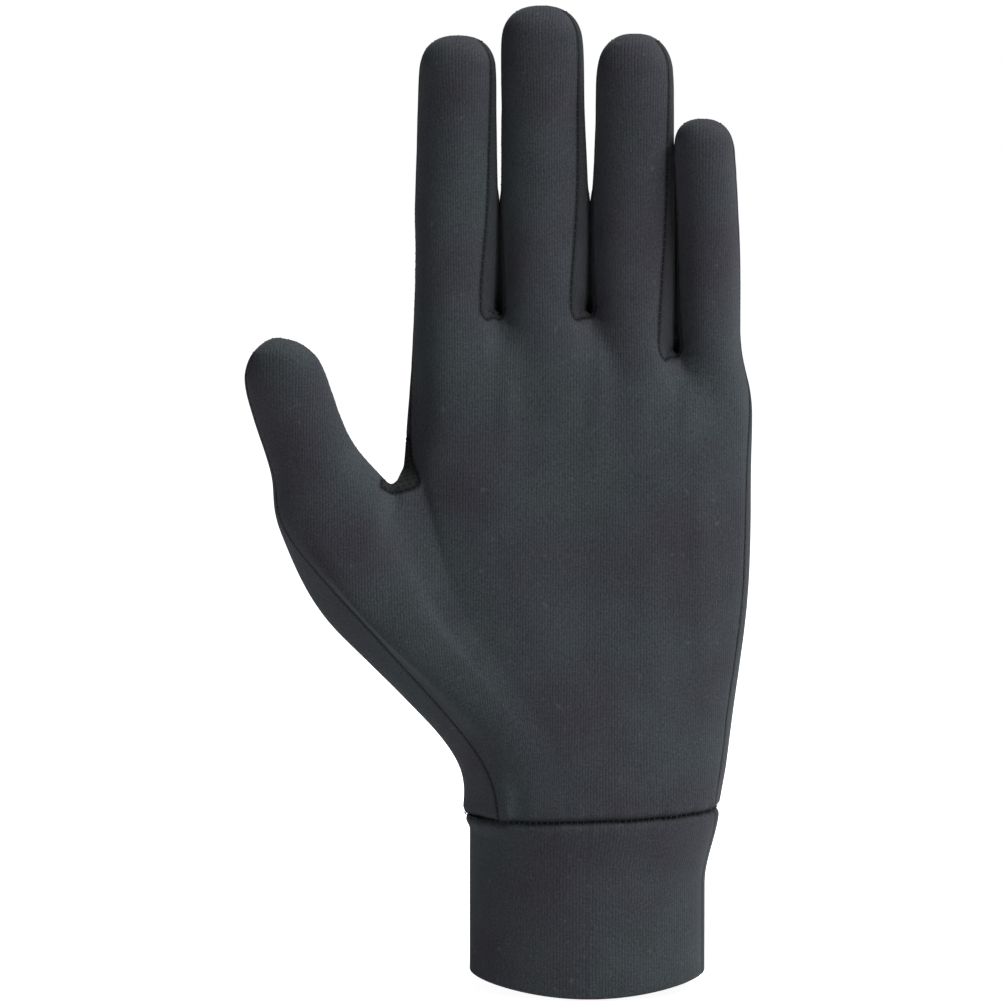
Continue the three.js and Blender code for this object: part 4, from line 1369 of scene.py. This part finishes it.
@dataclass(frozen=True)
class ThreadFinish:
    """The sewing thread, with its plies showing, and a painted highlight on each ply's ridge."""

    name: str = "sewing_thread"
    colour: tuple[float, float, float] = (0.008, 0.008, 0.009)
    roughness: float = 0.7
    rough_spread: float = 0.1
    plies: float = 900.0
    twist: float = 1.5
    # How much brighter the plies' ridges are painted: painted highlight.
    shine: float = 1.8
    relief: float = 0.0001

    def material(self) -> bpy.types.Material:
        """Builds the material."""
        material = bpy.data.materials.new(self.name)
        material.use_nodes = True
        material.node_tree.nodes.clear()
        graph = Graph(material.node_tree)
        nap = graph.node("ShaderNodeGroup", node_tree=bpy.data.node_groups["Fibre nap"])
        place = graph.node("ShaderNodeTexCoord").outputs["Object"]
        plies = graph.node(
            "ShaderNodeTexWave",
            {"Vector": place, "Scale": self.plies, "Distortion": self.twist},
            bands_direction="DIAGONAL",
        )
        # Painted highlight on each ply's ridge: the same wave raises the bump.
        lit = tuple(self.shine * part for part in self.colour)
        colour = graph.blend(plies.outputs["Fac"], (*self.colour, 1), (*lit, 1))
        height = graph.math("MULTIPLY_ADD", nap.outputs["Fuzz"], 0.5, plies.outputs["Fac"])
        bump = graph.node("ShaderNodeBump", {"Strength": 0.5, "Distance": self.relief, "Height": height})
        smooth, coarse = self.roughness - self.rough_spread, self.roughness + self.rough_spread
        rough = graph.span(nap.outputs["Fuzz"], 0.3, 0.7, smooth, coarse)
        shader = graph.node(
            "ShaderNodeBsdfPrincipled",
            {"Base Color": colour, "Roughness": rough, "Normal": bump.outputs[0]},
        )
        output = graph.node("ShaderNodeOutputMaterial")
        graph.put(shader.outputs[0], output.inputs["Surface"])
        return material


def mesh_piece(
    name: str,
    points: Array,
    cells: Sequence,
    material: bpy.types.Material,
    knit: Array | None = None,
    seam: Array | None = None,
) -> bpy.types.Object:
    """Makes a smooth mesh object.

    Args:
        name: The piece's name.
        points: Its points in millimetres.
        cells: Its faces, as numbers of points.
        material: Its material.
        knit: The knit's two lengths at each point, in millimetres.
        seam: How much painted shade each point takes beside a seam, from 0 to 1.

    Returns:
        The object, in metres.
    """
    mesh = bpy.data.meshes.new(name)
    mesh.from_pydata((points * MILLIMETRE).tolist(), [], np.asarray(cells).tolist())
    mesh.polygons.foreach_set("use_smooth", np.ones(len(mesh.polygons), bool))
    if knit is not None:
        numbers = np.zeros(len(mesh.loops), int)
        mesh.loops.foreach_get("vertex_index", numbers)
        layer = mesh.uv_layers.new(name="knit")
        layer.data.foreach_set("uv", (knit[numbers] * UV_PER_MILLIMETRE).ravel())
    if seam is not None:
        # The seam attribute carries painted shade along the seams.
        attribute = mesh.attributes.new("seam", "FLOAT", "POINT")
        attribute.data.foreach_set("value", seam)
    mesh.materials.append(material)
    mesh.validate()
    piece = bpy.data.objects.new(name, mesh)
    bpy.context.scene.collection.objects.link(piece)
    return piece


def report(piece: bpy.types.Object) -> None:
    """Logs a piece's name and its number of triangles."""
    piece.data.calc_loop_triangles()
    LOG.info("%s: %d triangles", piece.name, len(piece.data.loop_triangles))


@dataclass
class Hand:
    """The six panels of the hand: the palm, the back, three fourchettes and the gusset."""

    form: HandForm
    cloth: float = 1.0
    fine_rounds: int = 4
    lining_rounds: int = 2
    fit_rounds: int = 24
    soft_rounds: int = 40
    seam_reach: float = 9.0
    groove_depth: float = 0.14
    groove_width: float = 0.45
    pucker_height: float = 0.08
    pucker_reach: float = 1.6
    edge_turn: float = 0.7
    edge_width: float = 0.7
    gather_height: float = 0.28
    gather_reach: float = 2.8
    unevenness: float = 0.14
    fold_height: float = 0.28
    crease_depth: float = 0.5
    press: float = 0.05
    seam_shade_width: float = 0.48
    rim_shade_width: float = 0.6
    skin: Skin = field(init=False)
    normals: Array = field(init=False)
    seams: SeamMap = field(init=False)
    wrist: SeamMap = field(init=False)
    lining: Skin = field(init=False)
    seam_edges: Array = field(init=False)
    rim_edges: Array = field(init=False)
    shade: Array = field(init=False)

    def __post_init__(self) -> None:
        """Builds the smooth skin and shapes its seams."""
        net = self.form.net()
        names = [panel.value for panel in net.owners]
        skin = Skin(np.array(net.points), np.array(net.cells), np.array(names))
        skin = skin.fitted(self.fit_rounds)
        for level in range(self.fine_rounds):
            skin = skin.subdivided()
            if level == self.lining_rounds - 1:
                self.soften(skin)
                self.lining = skin
        skin.points = skin.limit()
        self.skin = skin
        self.round_tips()
        self.map_seams()
        self.shape_cloth()
        self.close_slots()
        self.normals = self.skin.normals()

    def soften(self, skin: Skin) -> None:
        """Lets the ball of the thumb run softly into the palm, by drawing the cloth even there."""
        edges, _, _ = skin.edges()
        ends = np.concatenate([edges, edges[:, ::-1]])
        met = np.bincount(ends[:, 0], minlength=len(skin.points))
        x, y, z = skin.points.T
        across, up = x - self.form.palm_left, z - self.form.web_height
        share = smooth_step(*SOFT_PALM["from_left"], across)
        share *= 1 - smooth_step(*SOFT_PALM["to_right"], across)
        share *= smooth_step(*SOFT_PALM["ahead"], -y) * (1 - smooth_step(*SOFT_PALM["to_web"], up))
        share *= smooth_step(*SOFT_PALM["from_cuff"], z - self.form.cuff_length)
        for _ in range(self.soft_rounds):
            beside = np.bincount(ends[:, 0], skin.points[ends[:, 1], 1], len(skin.points)) / met
            skin.points[:, 1] += SOFT_PALM["pull"] * share * (beside - skin.points[:, 1])

    def sections(self, digit: Digit) -> tuple[Array, Array, Array, Array]:
        """Looks up a finger's section at the height of each of the skin's points.

        Args:
            digit: The finger.

        Returns:
            The X and Y of its middle, its half width and its half depth.
        """
        heights = np.linspace(SECTIONS_BELOW, digit.length, SECTIONS)
        middles = np.array([digit.centre(height) for height in heights])
        shares = np.clip(heights / digit.length, 0, 1)
        half_widths = [digit.width_at(share) / 2 for share in shares]
        half_depths = [digit.depth_at(share) / 2 for share in shares]
        columns = (middles[:, 0], middles[:, 1], half_widths, half_depths)
        up = self.skin.points[:, 2]
        return tuple(np.interp(up, middles[:, 2], column) for column in columns)

    def round_tips(self) -> None:
        """Draws the four fingertips out to a clean round, a little squarer than a ball."""
        points = self.skin.points
        fingers = [self.form.finger(index) for index in range(4)]
        sections = [self.sections(digit) for digit in fingers]
        outs = []
        for digit, (x, y, half_width, half_depth) in zip(fingers, sections):
            power = 2 / digit.squareness
            across = np.abs((points[:, 0] - x) / half_width) ** power
            ahead = np.abs((points[:, 1] - y) / half_depth) ** power
            outs.append((across + ahead) ** (1 / power))
        nearest = np.argmin(outs, axis=0)
        for index, (digit, (x, y, _, _), out) in enumerate(zip(fingers, sections, outs)):
            low = digit.centre(digit.length - digit.tip_length)[2]
            up = (points[:, 2] - low) / digit.tip_length
            own = (up > 0) & (out**2 + up**2 < TIP["within"]) & (nearest == index)
            ball = (out[own] ** TIP["power"] + up[own] ** TIP["power"]) ** (1 / TIP["power"])
            grow = 1 + (1 / ball - 1) * smooth_step(0, TIP["start"], up[own])
            points[own, 0] = x[own] + (points[own, 0] - x[own]) * grow
            points[own, 1] = y[own] + (points[own, 1] - y[own]) * grow
            points[own, 2] = low + up[own] * digit.tip_length * grow

    def close_slots(self) -> None:
        """Presses neighbouring fingers together in the rear half of the slots between them."""
        points = self.skin.points
        fingers = [self.form.finger(index) for index in range(4)]
        for index, fork in enumerate(self.form.forks):
            left_x, left_y, left_half, _ = self.sections(fingers[index])
            right_x, right_y, right_half, _ = self.sections(fingers[index + 1])
            middle = (left_x + left_half + right_x - right_half) / 2
            above = points[:, 2] - fork
            height = smooth_step(*SLOT["foot"], above)
            height *= 1 - smooth_step(*SLOT["fade"], above - SLOT_TOPS[index])
            for x, half, y, way in (
                (left_x, left_half, left_y, 1),
                (right_x, right_half, right_y, -1),
            ):
                out = (points[:, 0] - x) * way / half
                own = (out > 0) & ((middle - points[:, 0]) * way > 0)
                share = smooth_step(*SLOT["across"], out) * height * own
                share *= smooth_step(*SLOT["back"], points[:, 1] - y)
                points[:, 0] += share * (middle + way * self.press - points[:, 0])

    def map_seams(self) -> None:
        """Finds the seams between the panels and along the wrist."""
        edges, cell_edges, counts = self.skin.edges()
        kinds = np.unique(self.skin.owners, return_inverse=True)[1].astype(float)
        total = np.bincount(cell_edges.ravel(), np.repeat(kinds, 4), len(edges))
        squares = np.bincount(cell_edges.ravel(), np.repeat(kinds * kinds, 4), len(edges))
        spread = squares / counts - (total / counts) ** 2
        self.seam_edges = edges[spread > 1e-6]
        self.rim_edges = edges[counts == 1]
        points = self.skin.points
        self.seams = SeamMap.of(points, edges, np.unique(self.seam_edges), self.seam_reach)
        self.wrist = SeamMap.of(points, edges, np.unique(self.rim_edges), self.seam_reach)

    def shape_cloth(self) -> None:
        """Sinks the seams, puckers and gathers the cloth beside them and makes it a little uneven. It
        also sets the painted shade along the seams and the wrist.
        """
        points, normals = self.skin.points, self.skin.normals()
        near, rim = self.seams.distance, self.wrist.distance
        at_seam, at_rim = points[self.seams.nearest], points[self.wrist.nearest]
        out = -self.groove_depth * np.exp(-((near / self.groove_width) ** 2))
        side = np.sign((points - at_seam) @ ACROSS_SEAMS)
        pucker = PUCKERS.at(at_seam) + side * PUCKER_SIDES.at(at_seam)
        fading = np.exp(-near / self.pucker_reach) * (near < self.seam_reach)
        out += self.pucker_height * pucker * fading
        out -= self.edge_turn * np.exp(-((rim / self.edge_width) ** 2))
        fading = np.exp(-rim / self.gather_reach) * (rim < self.seam_reach)
        out += self.gather_height * HAND_GATHERS.at(at_rim) * fading
        out += self.unevenness * HAND_WAVES.at(points)
        out += self.fork_folds(points)
        points += normals * out[:, None]
        # Painted shade: a mask that darkens the colour along the seams and the wrist seam.
        seam_shade = np.exp(-((near / self.seam_shade_width) ** 2))
        self.shade = np.maximum(seam_shade, np.exp(-((rim / self.rim_shade_width) ** 2)))

    def fork_folds(self, points: Array) -> Array:
        """Gives the small folds that run out of the forks, and the soft one below the thumb."""
        folds = np.zeros(len(points))
        webs = [self.form.finger(index + 1) for index in range(3)]
        for index, (fork, digit) in enumerate(zip(self.form.forks, webs)):
            x = digit.centre(0)[0] - digit.width_at(0) / 2
            across, up = points[:, 0] - x, points[:, 2] - fork
            away = np.hypot(across, up)
            angle = np.arctan2(across, up)
            wave = np.sin(FORK_FOLDS["number"] * angle + FORK_FOLDS["turn"] * index)
            wave *= np.minimum(away / FORK_FOLDS["start"], 1)
            folds += self.fold_height * wave * np.exp(-((away / FORK_FOLDS["reach"]) ** 2))
        shape = THUMB_CREASE
        x = self.form.palm_left - shape["place"] * self.form.thumb_web
        down = self.form.web_height - points[:, 2]
        across = points[:, 0] - x + shape["curve"] * np.clip(down, 0, shape["curve_length"]) ** 2
        beside = (across + shape["swell_place"]) / shape["swell_width"]
        crease = np.exp(-((across / shape["width"]) ** 2)) - shape["swell"] * np.exp(-(beside**2))
        reach = smooth_step(*shape["start"], down) * (1 - smooth_step(*shape["end"], down))
        front = smooth_step(*shape["front"], -points[:, 1])
        return folds - self.crease_depth * crease * reach * front

    def pick(self, panel: Panel) -> tuple[Array, Array, Array]:
        """Gives a panel's point numbers, its outer cells and its lining cells on those numbers."""
        outer = self.skin.cells[self.skin.owners == panel.value]
        inner = self.lining.cells[self.lining.owners == panel.value]
        numbers = np.unique(outer)
        place = np.zeros(len(self.skin.points), int)
        place[numbers] = np.arange(len(numbers))
        return numbers, place[outer], place[inner]

    def build(self, panel: Panel, material: bpy.types.Material, slot: str) -> bpy.types.Object:
        """Makes one panel: its outer face, and the inner face one cloth further in.

        Args:
            panel: The panel.
            material: Its material.
            slot: The record's material slot; not used.

        Returns:
            The piece, which rides on the body and stands for the panel's solid.
        """
        numbers, outer, inner = self.pick(panel)
        points, normals = self.skin.points[numbers], self.normals[numbers]
        own = Skin(points, outer, np.zeros(len(outer)))
        edges, _, _ = own.edges()
        knit = knit_directions(points, normals, edges)
        used = np.unique(inner)
        place = np.zeros(len(points), int)
        place[used] = len(points) + np.arange(len(used))
        inside = points[used] - normals[used] * self.cloth
        cells = np.concatenate([outer, place[inner][:, ::-1]])
        piece = mesh_piece(
            panel.value + "_cloth",
            np.concatenate([points, inside]),
            cells,
            material,
            np.concatenate([knit, knit[used]]),
            np.concatenate([self.shade[numbers], self.shade[numbers][used]]),
        )
        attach(piece, BODY)
        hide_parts(panel.value)
        report(piece)
        return piece


@dataclass
class Threads:
    """The sewing that shows: short stitches over every seam, and longer ones round the wrist."""

    pitch: float = 2.0
    half_length: float = 0.42
    lift: float = 0.14
    radius: float = 0.1
    wrist_pitch: float = 1.5
    wrist_half_length: float = 0.5
    wrist_lift: float = 0.1
    slant: float = 0.25
    wrist_slant: float = 0.15
    taper: float = 0.75
    sides: int = 6
    bends: int = 5

    def stitches(self, line: SeamLine, half: float, tilt: float, rise: float) -> tuple[Array, Array]:
        """Makes the stitches of one seam.

        Args:
            line: The places of the stitches.
            half: Half the length of a stitch.
            tilt: How far it slants along the seam.
            rise: How far its ends lie above the seam.

        Returns:
            The points and the faces.
        """
        share = np.linspace(-1, 1, self.bends)[:, None, None]
        turn = np.linspace(0, 2 * math.pi, self.sides, endpoint=False)
        across = line.sideways + line.forwards * tilt
        arch = (self.lift * (1 - share**2) + rise) * line.out[None]
        spine = line.places[None] + share * half * across[None] + arch
        thick = self.radius * (1 - self.taper * share**4)
        rings = [
            spine + thick * (math.cos(angle) * line.out[None] + math.sin(angle) * line.forwards[None])
            for angle in turn
        ]
        points = np.stack(rings, axis=2).transpose(1, 0, 2, 3).reshape(-1, 3)
        number = np.arange(len(points)).reshape(len(line.places), self.bends, self.sides)
        beside = np.roll(number, -1, axis=2)
        cells = np.stack([number[:, :-1], beside[:, :-1], beside[:, 1:], number[:, 1:]], axis=3)
        return points, cells.reshape(-1, 4)

    def build(self, hand: Hand, material: bpy.types.Material, slot: str) -> bpy.types.Object:
        """Makes all the stitches as one piece.

        Args:
            hand: The hand that they sew together.
            material: The thread's material.
            slot: The record's material slot; not used.

        Returns:
            The piece.
        """
        points, normals = hand.skin.points, hand.normals
        parts = []
        for run in chains(hand.seam_edges):
            line = SeamLine.of(points, normals, run, self.pitch)
            parts.append(self.stitches(line, self.half_length, self.slant, 0.0))
        for run in chains(hand.rim_edges):
            line = SeamLine.of(points, normals, run, self.wrist_pitch)
            line.places[:, 2] -= hand.form.seam_drop
            half = self.wrist_half_length
            parts.append(self.stitches(line, half, self.wrist_slant, self.wrist_lift))
        starts = np.cumsum([0] + [len(part[0]) for part in parts])
        cells = np.concatenate([part[1] + start for part, start in zip(parts, starts)])
        piece = mesh_piece("seam_threads", np.concatenate([part[0] for part in parts]), cells, material)
        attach(piece, BODY)
        report(piece)
        return piece


@dataclass
class SeamAllowances:
    """The edges of the cut pieces inside the hand, which stand up along every seam."""

    pitch: float = 1.6
    depth: float = 2.6
    thickness: float = 1.5
    overlap: float = 0.4
    corners: int = 8

    def build(self, hand: Hand, material: bpy.types.Material, slot: str) -> bpy.types.Object:
        """Makes the allowances as one piece.

        Args:
            hand: The hand that they belong to.
            material: The cloth's material.
            slot: The record's material slot; not used.

        Returns:
            The piece.
        """
        points, cells = [], []
        start = 0
        turn = np.linspace(0, 2 * math.pi, self.corners, endpoint=False)
        for run in chains(hand.seam_edges):
            line = SeamLine.of(hand.skin.points, hand.normals, run, self.pitch)
            middle = -(hand.cloth + self.depth / 2 - self.overlap)
            rings = [
                line.places
                + line.out * (middle + math.cos(angle) * self.depth / 2)
                + line.sideways * (math.sin(angle) * self.thickness / 2)
                for angle in turn
            ]
            points.append(np.stack(rings, axis=1).reshape(-1, 3))
            number = start + np.arange(len(points[-1])).reshape(-1, self.corners)
            beside = np.roll(number, -1, axis=1)
            quads = [number[:-1], number[1:], beside[1:], beside[:-1]]
            cells.append(np.stack(quads, axis=2).reshape(-1, 4))
            start += len(points[-1])
        places = np.concatenate(points)
        knit = np.stack([places[:, 0] - places[:, 1], places[:, 2]], axis=1)
        piece = mesh_piece("seam_allowances", places, np.concatenate(cells), material, knit)
        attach(piece, BODY)
        report(piece)
        return piece


@dataclass
class Cuff:
    """The cuff of doubled cloth, folded at its hem and sewn on at the wrist."""

    form: HandForm
    width: float = 60.6
    thickness: float = 41
    wall: float = 1.8
    step: float = 0.9
    hem_dip: float = 3.5
    narrows: tuple[float, float] = (0.1, 0.46)
    segments: int = 360
    rows: int = 64
    hem_rows: int = 10
    seam_gap: float = 0.15
    gather_height: float = 0.3
    gather_reach: float = 2.5
    unevenness: float = 0.22
    top_turn: float = 1.1
    inner_turn: float = 4.0
    crowding: float = 1.25
    side_seam: float = 76
    side_shade: float = 0.7
    side_shade_width: float = 0.4
    top_shade_width: float = 0.7
    groove_depth: float = 0.3
    groove_width: float = 0.5

    def profile(self) -> tuple[Array, Array, Array]:
        """Gives the rows from the seam down, round the hem and up inside.

        Returns:
            How far down each row is from 0 to 1, how deep it lies, and its length along the cloth.
        """
        half = self.wall / 2
        length = self.form.cuff_length
        straight = 1 - half / length
        down = straight * np.linspace(0, 1, self.rows) ** self.crowding
        depth = self.step * np.exp(-((down * length / self.top_turn) ** 2))
        turn = np.linspace(0, math.pi, self.hem_rows)[1:-1]
        hem_down = straight + (1 - straight) * np.sin(turn)
        hem_depth = half - half * np.cos(turn)
        up = straight * np.linspace(1, 0, self.rows // 2)
        inner = self.wall + self.step * np.exp(-((up * length / self.inner_turn) ** 2))
        downs = np.concatenate([down, hem_down, up])
        depths = np.concatenate([depth, hem_depth, inner])
        steps = np.hypot(np.diff(downs) * length, np.diff(depths))
        return downs, depths, np.concatenate([[0], np.cumsum(steps)])

    def build(self, material: bpy.types.Material, slot: str) -> bpy.types.Object:
        """Makes the cuff.

        Args:
            material: Its material.
            slot: The record's material slot; not used.

        Returns:
            The piece.
        """
        downs, depths, lengths = self.profile()
        angles = np.linspace(0, 2 * math.pi, self.segments, endpoint=False)
        angle, down = np.meshgrid(angles, downs)
        depth = np.broadcast_to(depths[:, None], angle.shape).copy()
        narrowing = smooth_step(0, mix(*self.narrows, (1 + np.sin(angle)) / 2), down)
        half_width = mix(self.form.wrist_width, self.width, narrowing) / 2
        half_depth = mix(self.form.wrist_thickness, self.thickness, narrowing) / 2
        rim = np.stack([np.sin(angle) * RIM_HALVES[0], np.cos(angle) * RIM_HALVES[1]], axis=2)
        rim = rim.reshape(-1, 2)
        below = down * self.form.cuff_length
        gathers = CUFF_GATHERS.at(rim).reshape(angle.shape)
        depth -= self.gather_height * gathers * np.exp(-below / self.gather_reach)
        places = np.concatenate([rim, below.reshape(-1, 1)], axis=1)
        depth -= self.unevenness * CUFF_WAVES.at(places).reshape(angle.shape)
        off_seam = (angle - math.radians(self.side_seam)) * (self.width + self.thickness) / 4
        depth += self.groove_depth * np.exp(-((off_seam / self.groove_width) ** 2))
        half_width -= depth
        half_depth -= depth
        x = self.form.wrist_shift * (1 - narrowing) + half_width * np.sin(angle)
        y = -half_depth * np.cos(angle)
        top = self.form.seam_height(x) - self.seam_gap
        hem = -self.hem_dip / 2 * np.cos(2 * angle)
        z = top + (hem - top) * down
        points = np.stack([x, y, z], axis=2).reshape(-1, 3)
        rows = len(downs)
        number = np.arange(rows * self.segments).reshape(rows, self.segments)
        beside = np.roll(number, -1, axis=1)
        cells = np.stack([number[1:], beside[1:], beside[:-1], number[:-1]], axis=2).reshape(-1, 4)
        around = angles * (self.width + self.thickness) / 4
        knit = np.stack(np.broadcast_arrays(around, -lengths[:, None]), axis=2).reshape(-1, 2)
        # Painted shade: the colour darkens just below the wrist seam and along the side seam's groove.
        seam = np.exp(-((below / self.top_shade_width) ** 2))
        seam += self.side_shade * np.exp(-((off_seam / self.side_shade_width) ** 2))
        seam = np.minimum(seam, 1).reshape(-1)
        piece = mesh_piece("cuff_cloth", points, cells, material, knit, seam)
        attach(piece, BODY)
        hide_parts("cuff")
        report(piece)
        return piece


@dataclass(frozen=True)
class Studio:
    """The floor, the soft lights and the camera."""

    target: tuple[float, float, float] = (-0.0223, 0.0, 0.1234)
    distance: float = 1.25
    elevation: float = 5.5
    lens: float = 176.3
    floor_height: float = -0.0024
    floor_glow: float = 0.95
    room_light: float = 0.07

    def floor(self) -> None:
        """Lays the pale floor under the hem."""
        material = bpy.data.materials.new("pale_floor")
        material.use_nodes = True
        graph = Graph(material.node_tree)
        shader = material.node_tree.nodes["Principled BSDF"]
        place = graph.node("ShaderNodeTexCoord").outputs["Object"]
        tone = graph.noise(place, 3.0)
        paint = graph.blend(tone, (0.86, 0.86, 0.86, 1), (0.9, 0.9, 0.9, 1))
        graph.put(paint, shader.inputs["Base Color"])
        shader.inputs["Roughness"].default_value = 0.9
        seen = graph.node("ShaderNodeLightPath").outputs["Is Camera Ray"]
        glow = graph.math("MULTIPLY", seen, self.floor_glow)
        shader.inputs["Emission Color"].default_value = (1, 1, 1, 1)
        graph.put(glow, shader.inputs["Emission Strength"])
        size = 6.0
        mesh = bpy.data.meshes.new("floor")
        corners = [(-size, -size, 0), (size, -size, 0), (size, size, 0), (-size, size, 0)]
        mesh.from_pydata(corners, [], [(0, 1, 2, 3)])
        mesh.materials.append(material)
        floor = bpy.data.objects.new("floor", mesh)
        floor.location.z = self.floor_height
        bpy.context.scene.collection.objects.link(floor)

    def light(self, name: str, place: Sequence[float], size: float, power: float) -> None:
        """Adds a soft square light that points at the liner."""
        lamp = bpy.data.lights.new(name, "AREA")
        lamp.size = size
        lamp.energy = power
        piece = bpy.data.objects.new(name, lamp)
        piece.location = place
        way = Vector(self.target) - Vector(place)
        piece.rotation_euler = way.to_track_quat("-Z", "Y").to_euler()
        bpy.context.scene.collection.objects.link(piece)

    def world(self) -> None:
        """Makes the room white to look at, and dimmer as a light."""
        world = bpy.data.worlds.new("white_room")
        world.use_nodes = True
        world.node_tree.nodes.clear()
        graph = Graph(world.node_tree)
        white = (1, 1, 1, 1)
        dim = graph.node("ShaderNodeBackground", {"Color": white, "Strength": self.room_light})
        bright = graph.node("ShaderNodeBackground", {"Color": white, "Strength": 1.0})
        seen = graph.node("ShaderNodeLightPath").outputs["Is Camera Ray"]
        both = graph.node("ShaderNodeMixShader", {0: seen, 1: dim.outputs[0], 2: bright.outputs[0]})
        output = graph.node("ShaderNodeOutputWorld")
        graph.put(both.outputs[0], output.inputs["Surface"])
        bpy.context.scene.world = world

    def camera(self) -> None:
        """Sets the camera at the picture's angle."""
        lens = bpy.data.cameras.new("camera")
        lens.lens = self.lens
        lens.sensor_width = 36.0
        lens.clip_end = 50.0
        piece = bpy.data.objects.new("camera", lens)
        rise = math.radians(self.elevation)
        back = Vector((0, -math.cos(rise), math.sin(rise))) * self.distance
        piece.location = Vector(self.target) + back
        piece.rotation_euler = (math.radians(90 - self.elevation), 0, 0)
        bpy.context.scene.collection.objects.link(piece)
        bpy.context.scene.camera = piece

    def build(self) -> None:
        """Sets up the whole studio."""
        self.floor()
        self.world()
        self.light("key", (0.75, -0.47, 1.25), 0.7, 36.0)
        self.light("fill", (-0.5, -1.4, 0.5), 1.0, 1.4)
        self.light("top", (0.2, 0.3, 1.4), 0.8, 3.0)
        self.camera()
        bpy.context.scene.view_settings.view_transform = "Standard"


def main() -> None:
    """Builds the liner's pieces in order, then the studio."""
    logging.basicConfig(level=logging.INFO, format="%(message)s")
    for build_group in (jersey_group, mesh_group, fuzz_group):
        build_group()
    form = HandForm()
    hand = Hand(form)
    palm = ClothFinish("palm_jersey").material()
    back = ClothFinish("back_jersey").material()
    # The fourchettes take a darker copy of the jersey: painted shade between the fingers.
    sides = ClothFinish(
        "side_jersey", light=(0.023, 0.0265, 0.029), dark=(0.0185, 0.018, 0.022)
    ).material()
    # The gusset takes a much darker colour than the jersey, with its holes darkened strongly: painted
    # shade in the thumb's crotch and in the holes.
    mesh = ClothFinish(
        "mesh_knit", knit=Knit.MESH, light=(0.014, 0.0145, 0.015), dark=(0.009, 0.009, 0.01), relief=0.9
    ).material()
    cuff = ClothFinish("cuff_jersey").material()
    hand.build(Panel.PALM, palm, "jersey_palm")
    hand.build(Panel.BACK, back, "jersey_back")
    for panel in (Panel.INDEX_MIDDLE, Panel.MIDDLE_RING, Panel.RING_LITTLE):
        hand.build(panel, sides, "jersey_sides")
    hand.build(Panel.GUSSET, mesh, "mesh_knit")
    SeamAllowances().build(hand, sides, "jersey_sides")
    Threads().build(hand, ThreadFinish().material(), "jersey_sides")
    Cuff(form).build(cuff, "jersey_cuff")
    Studio().build()


if __name__ == "__main__":
    main()
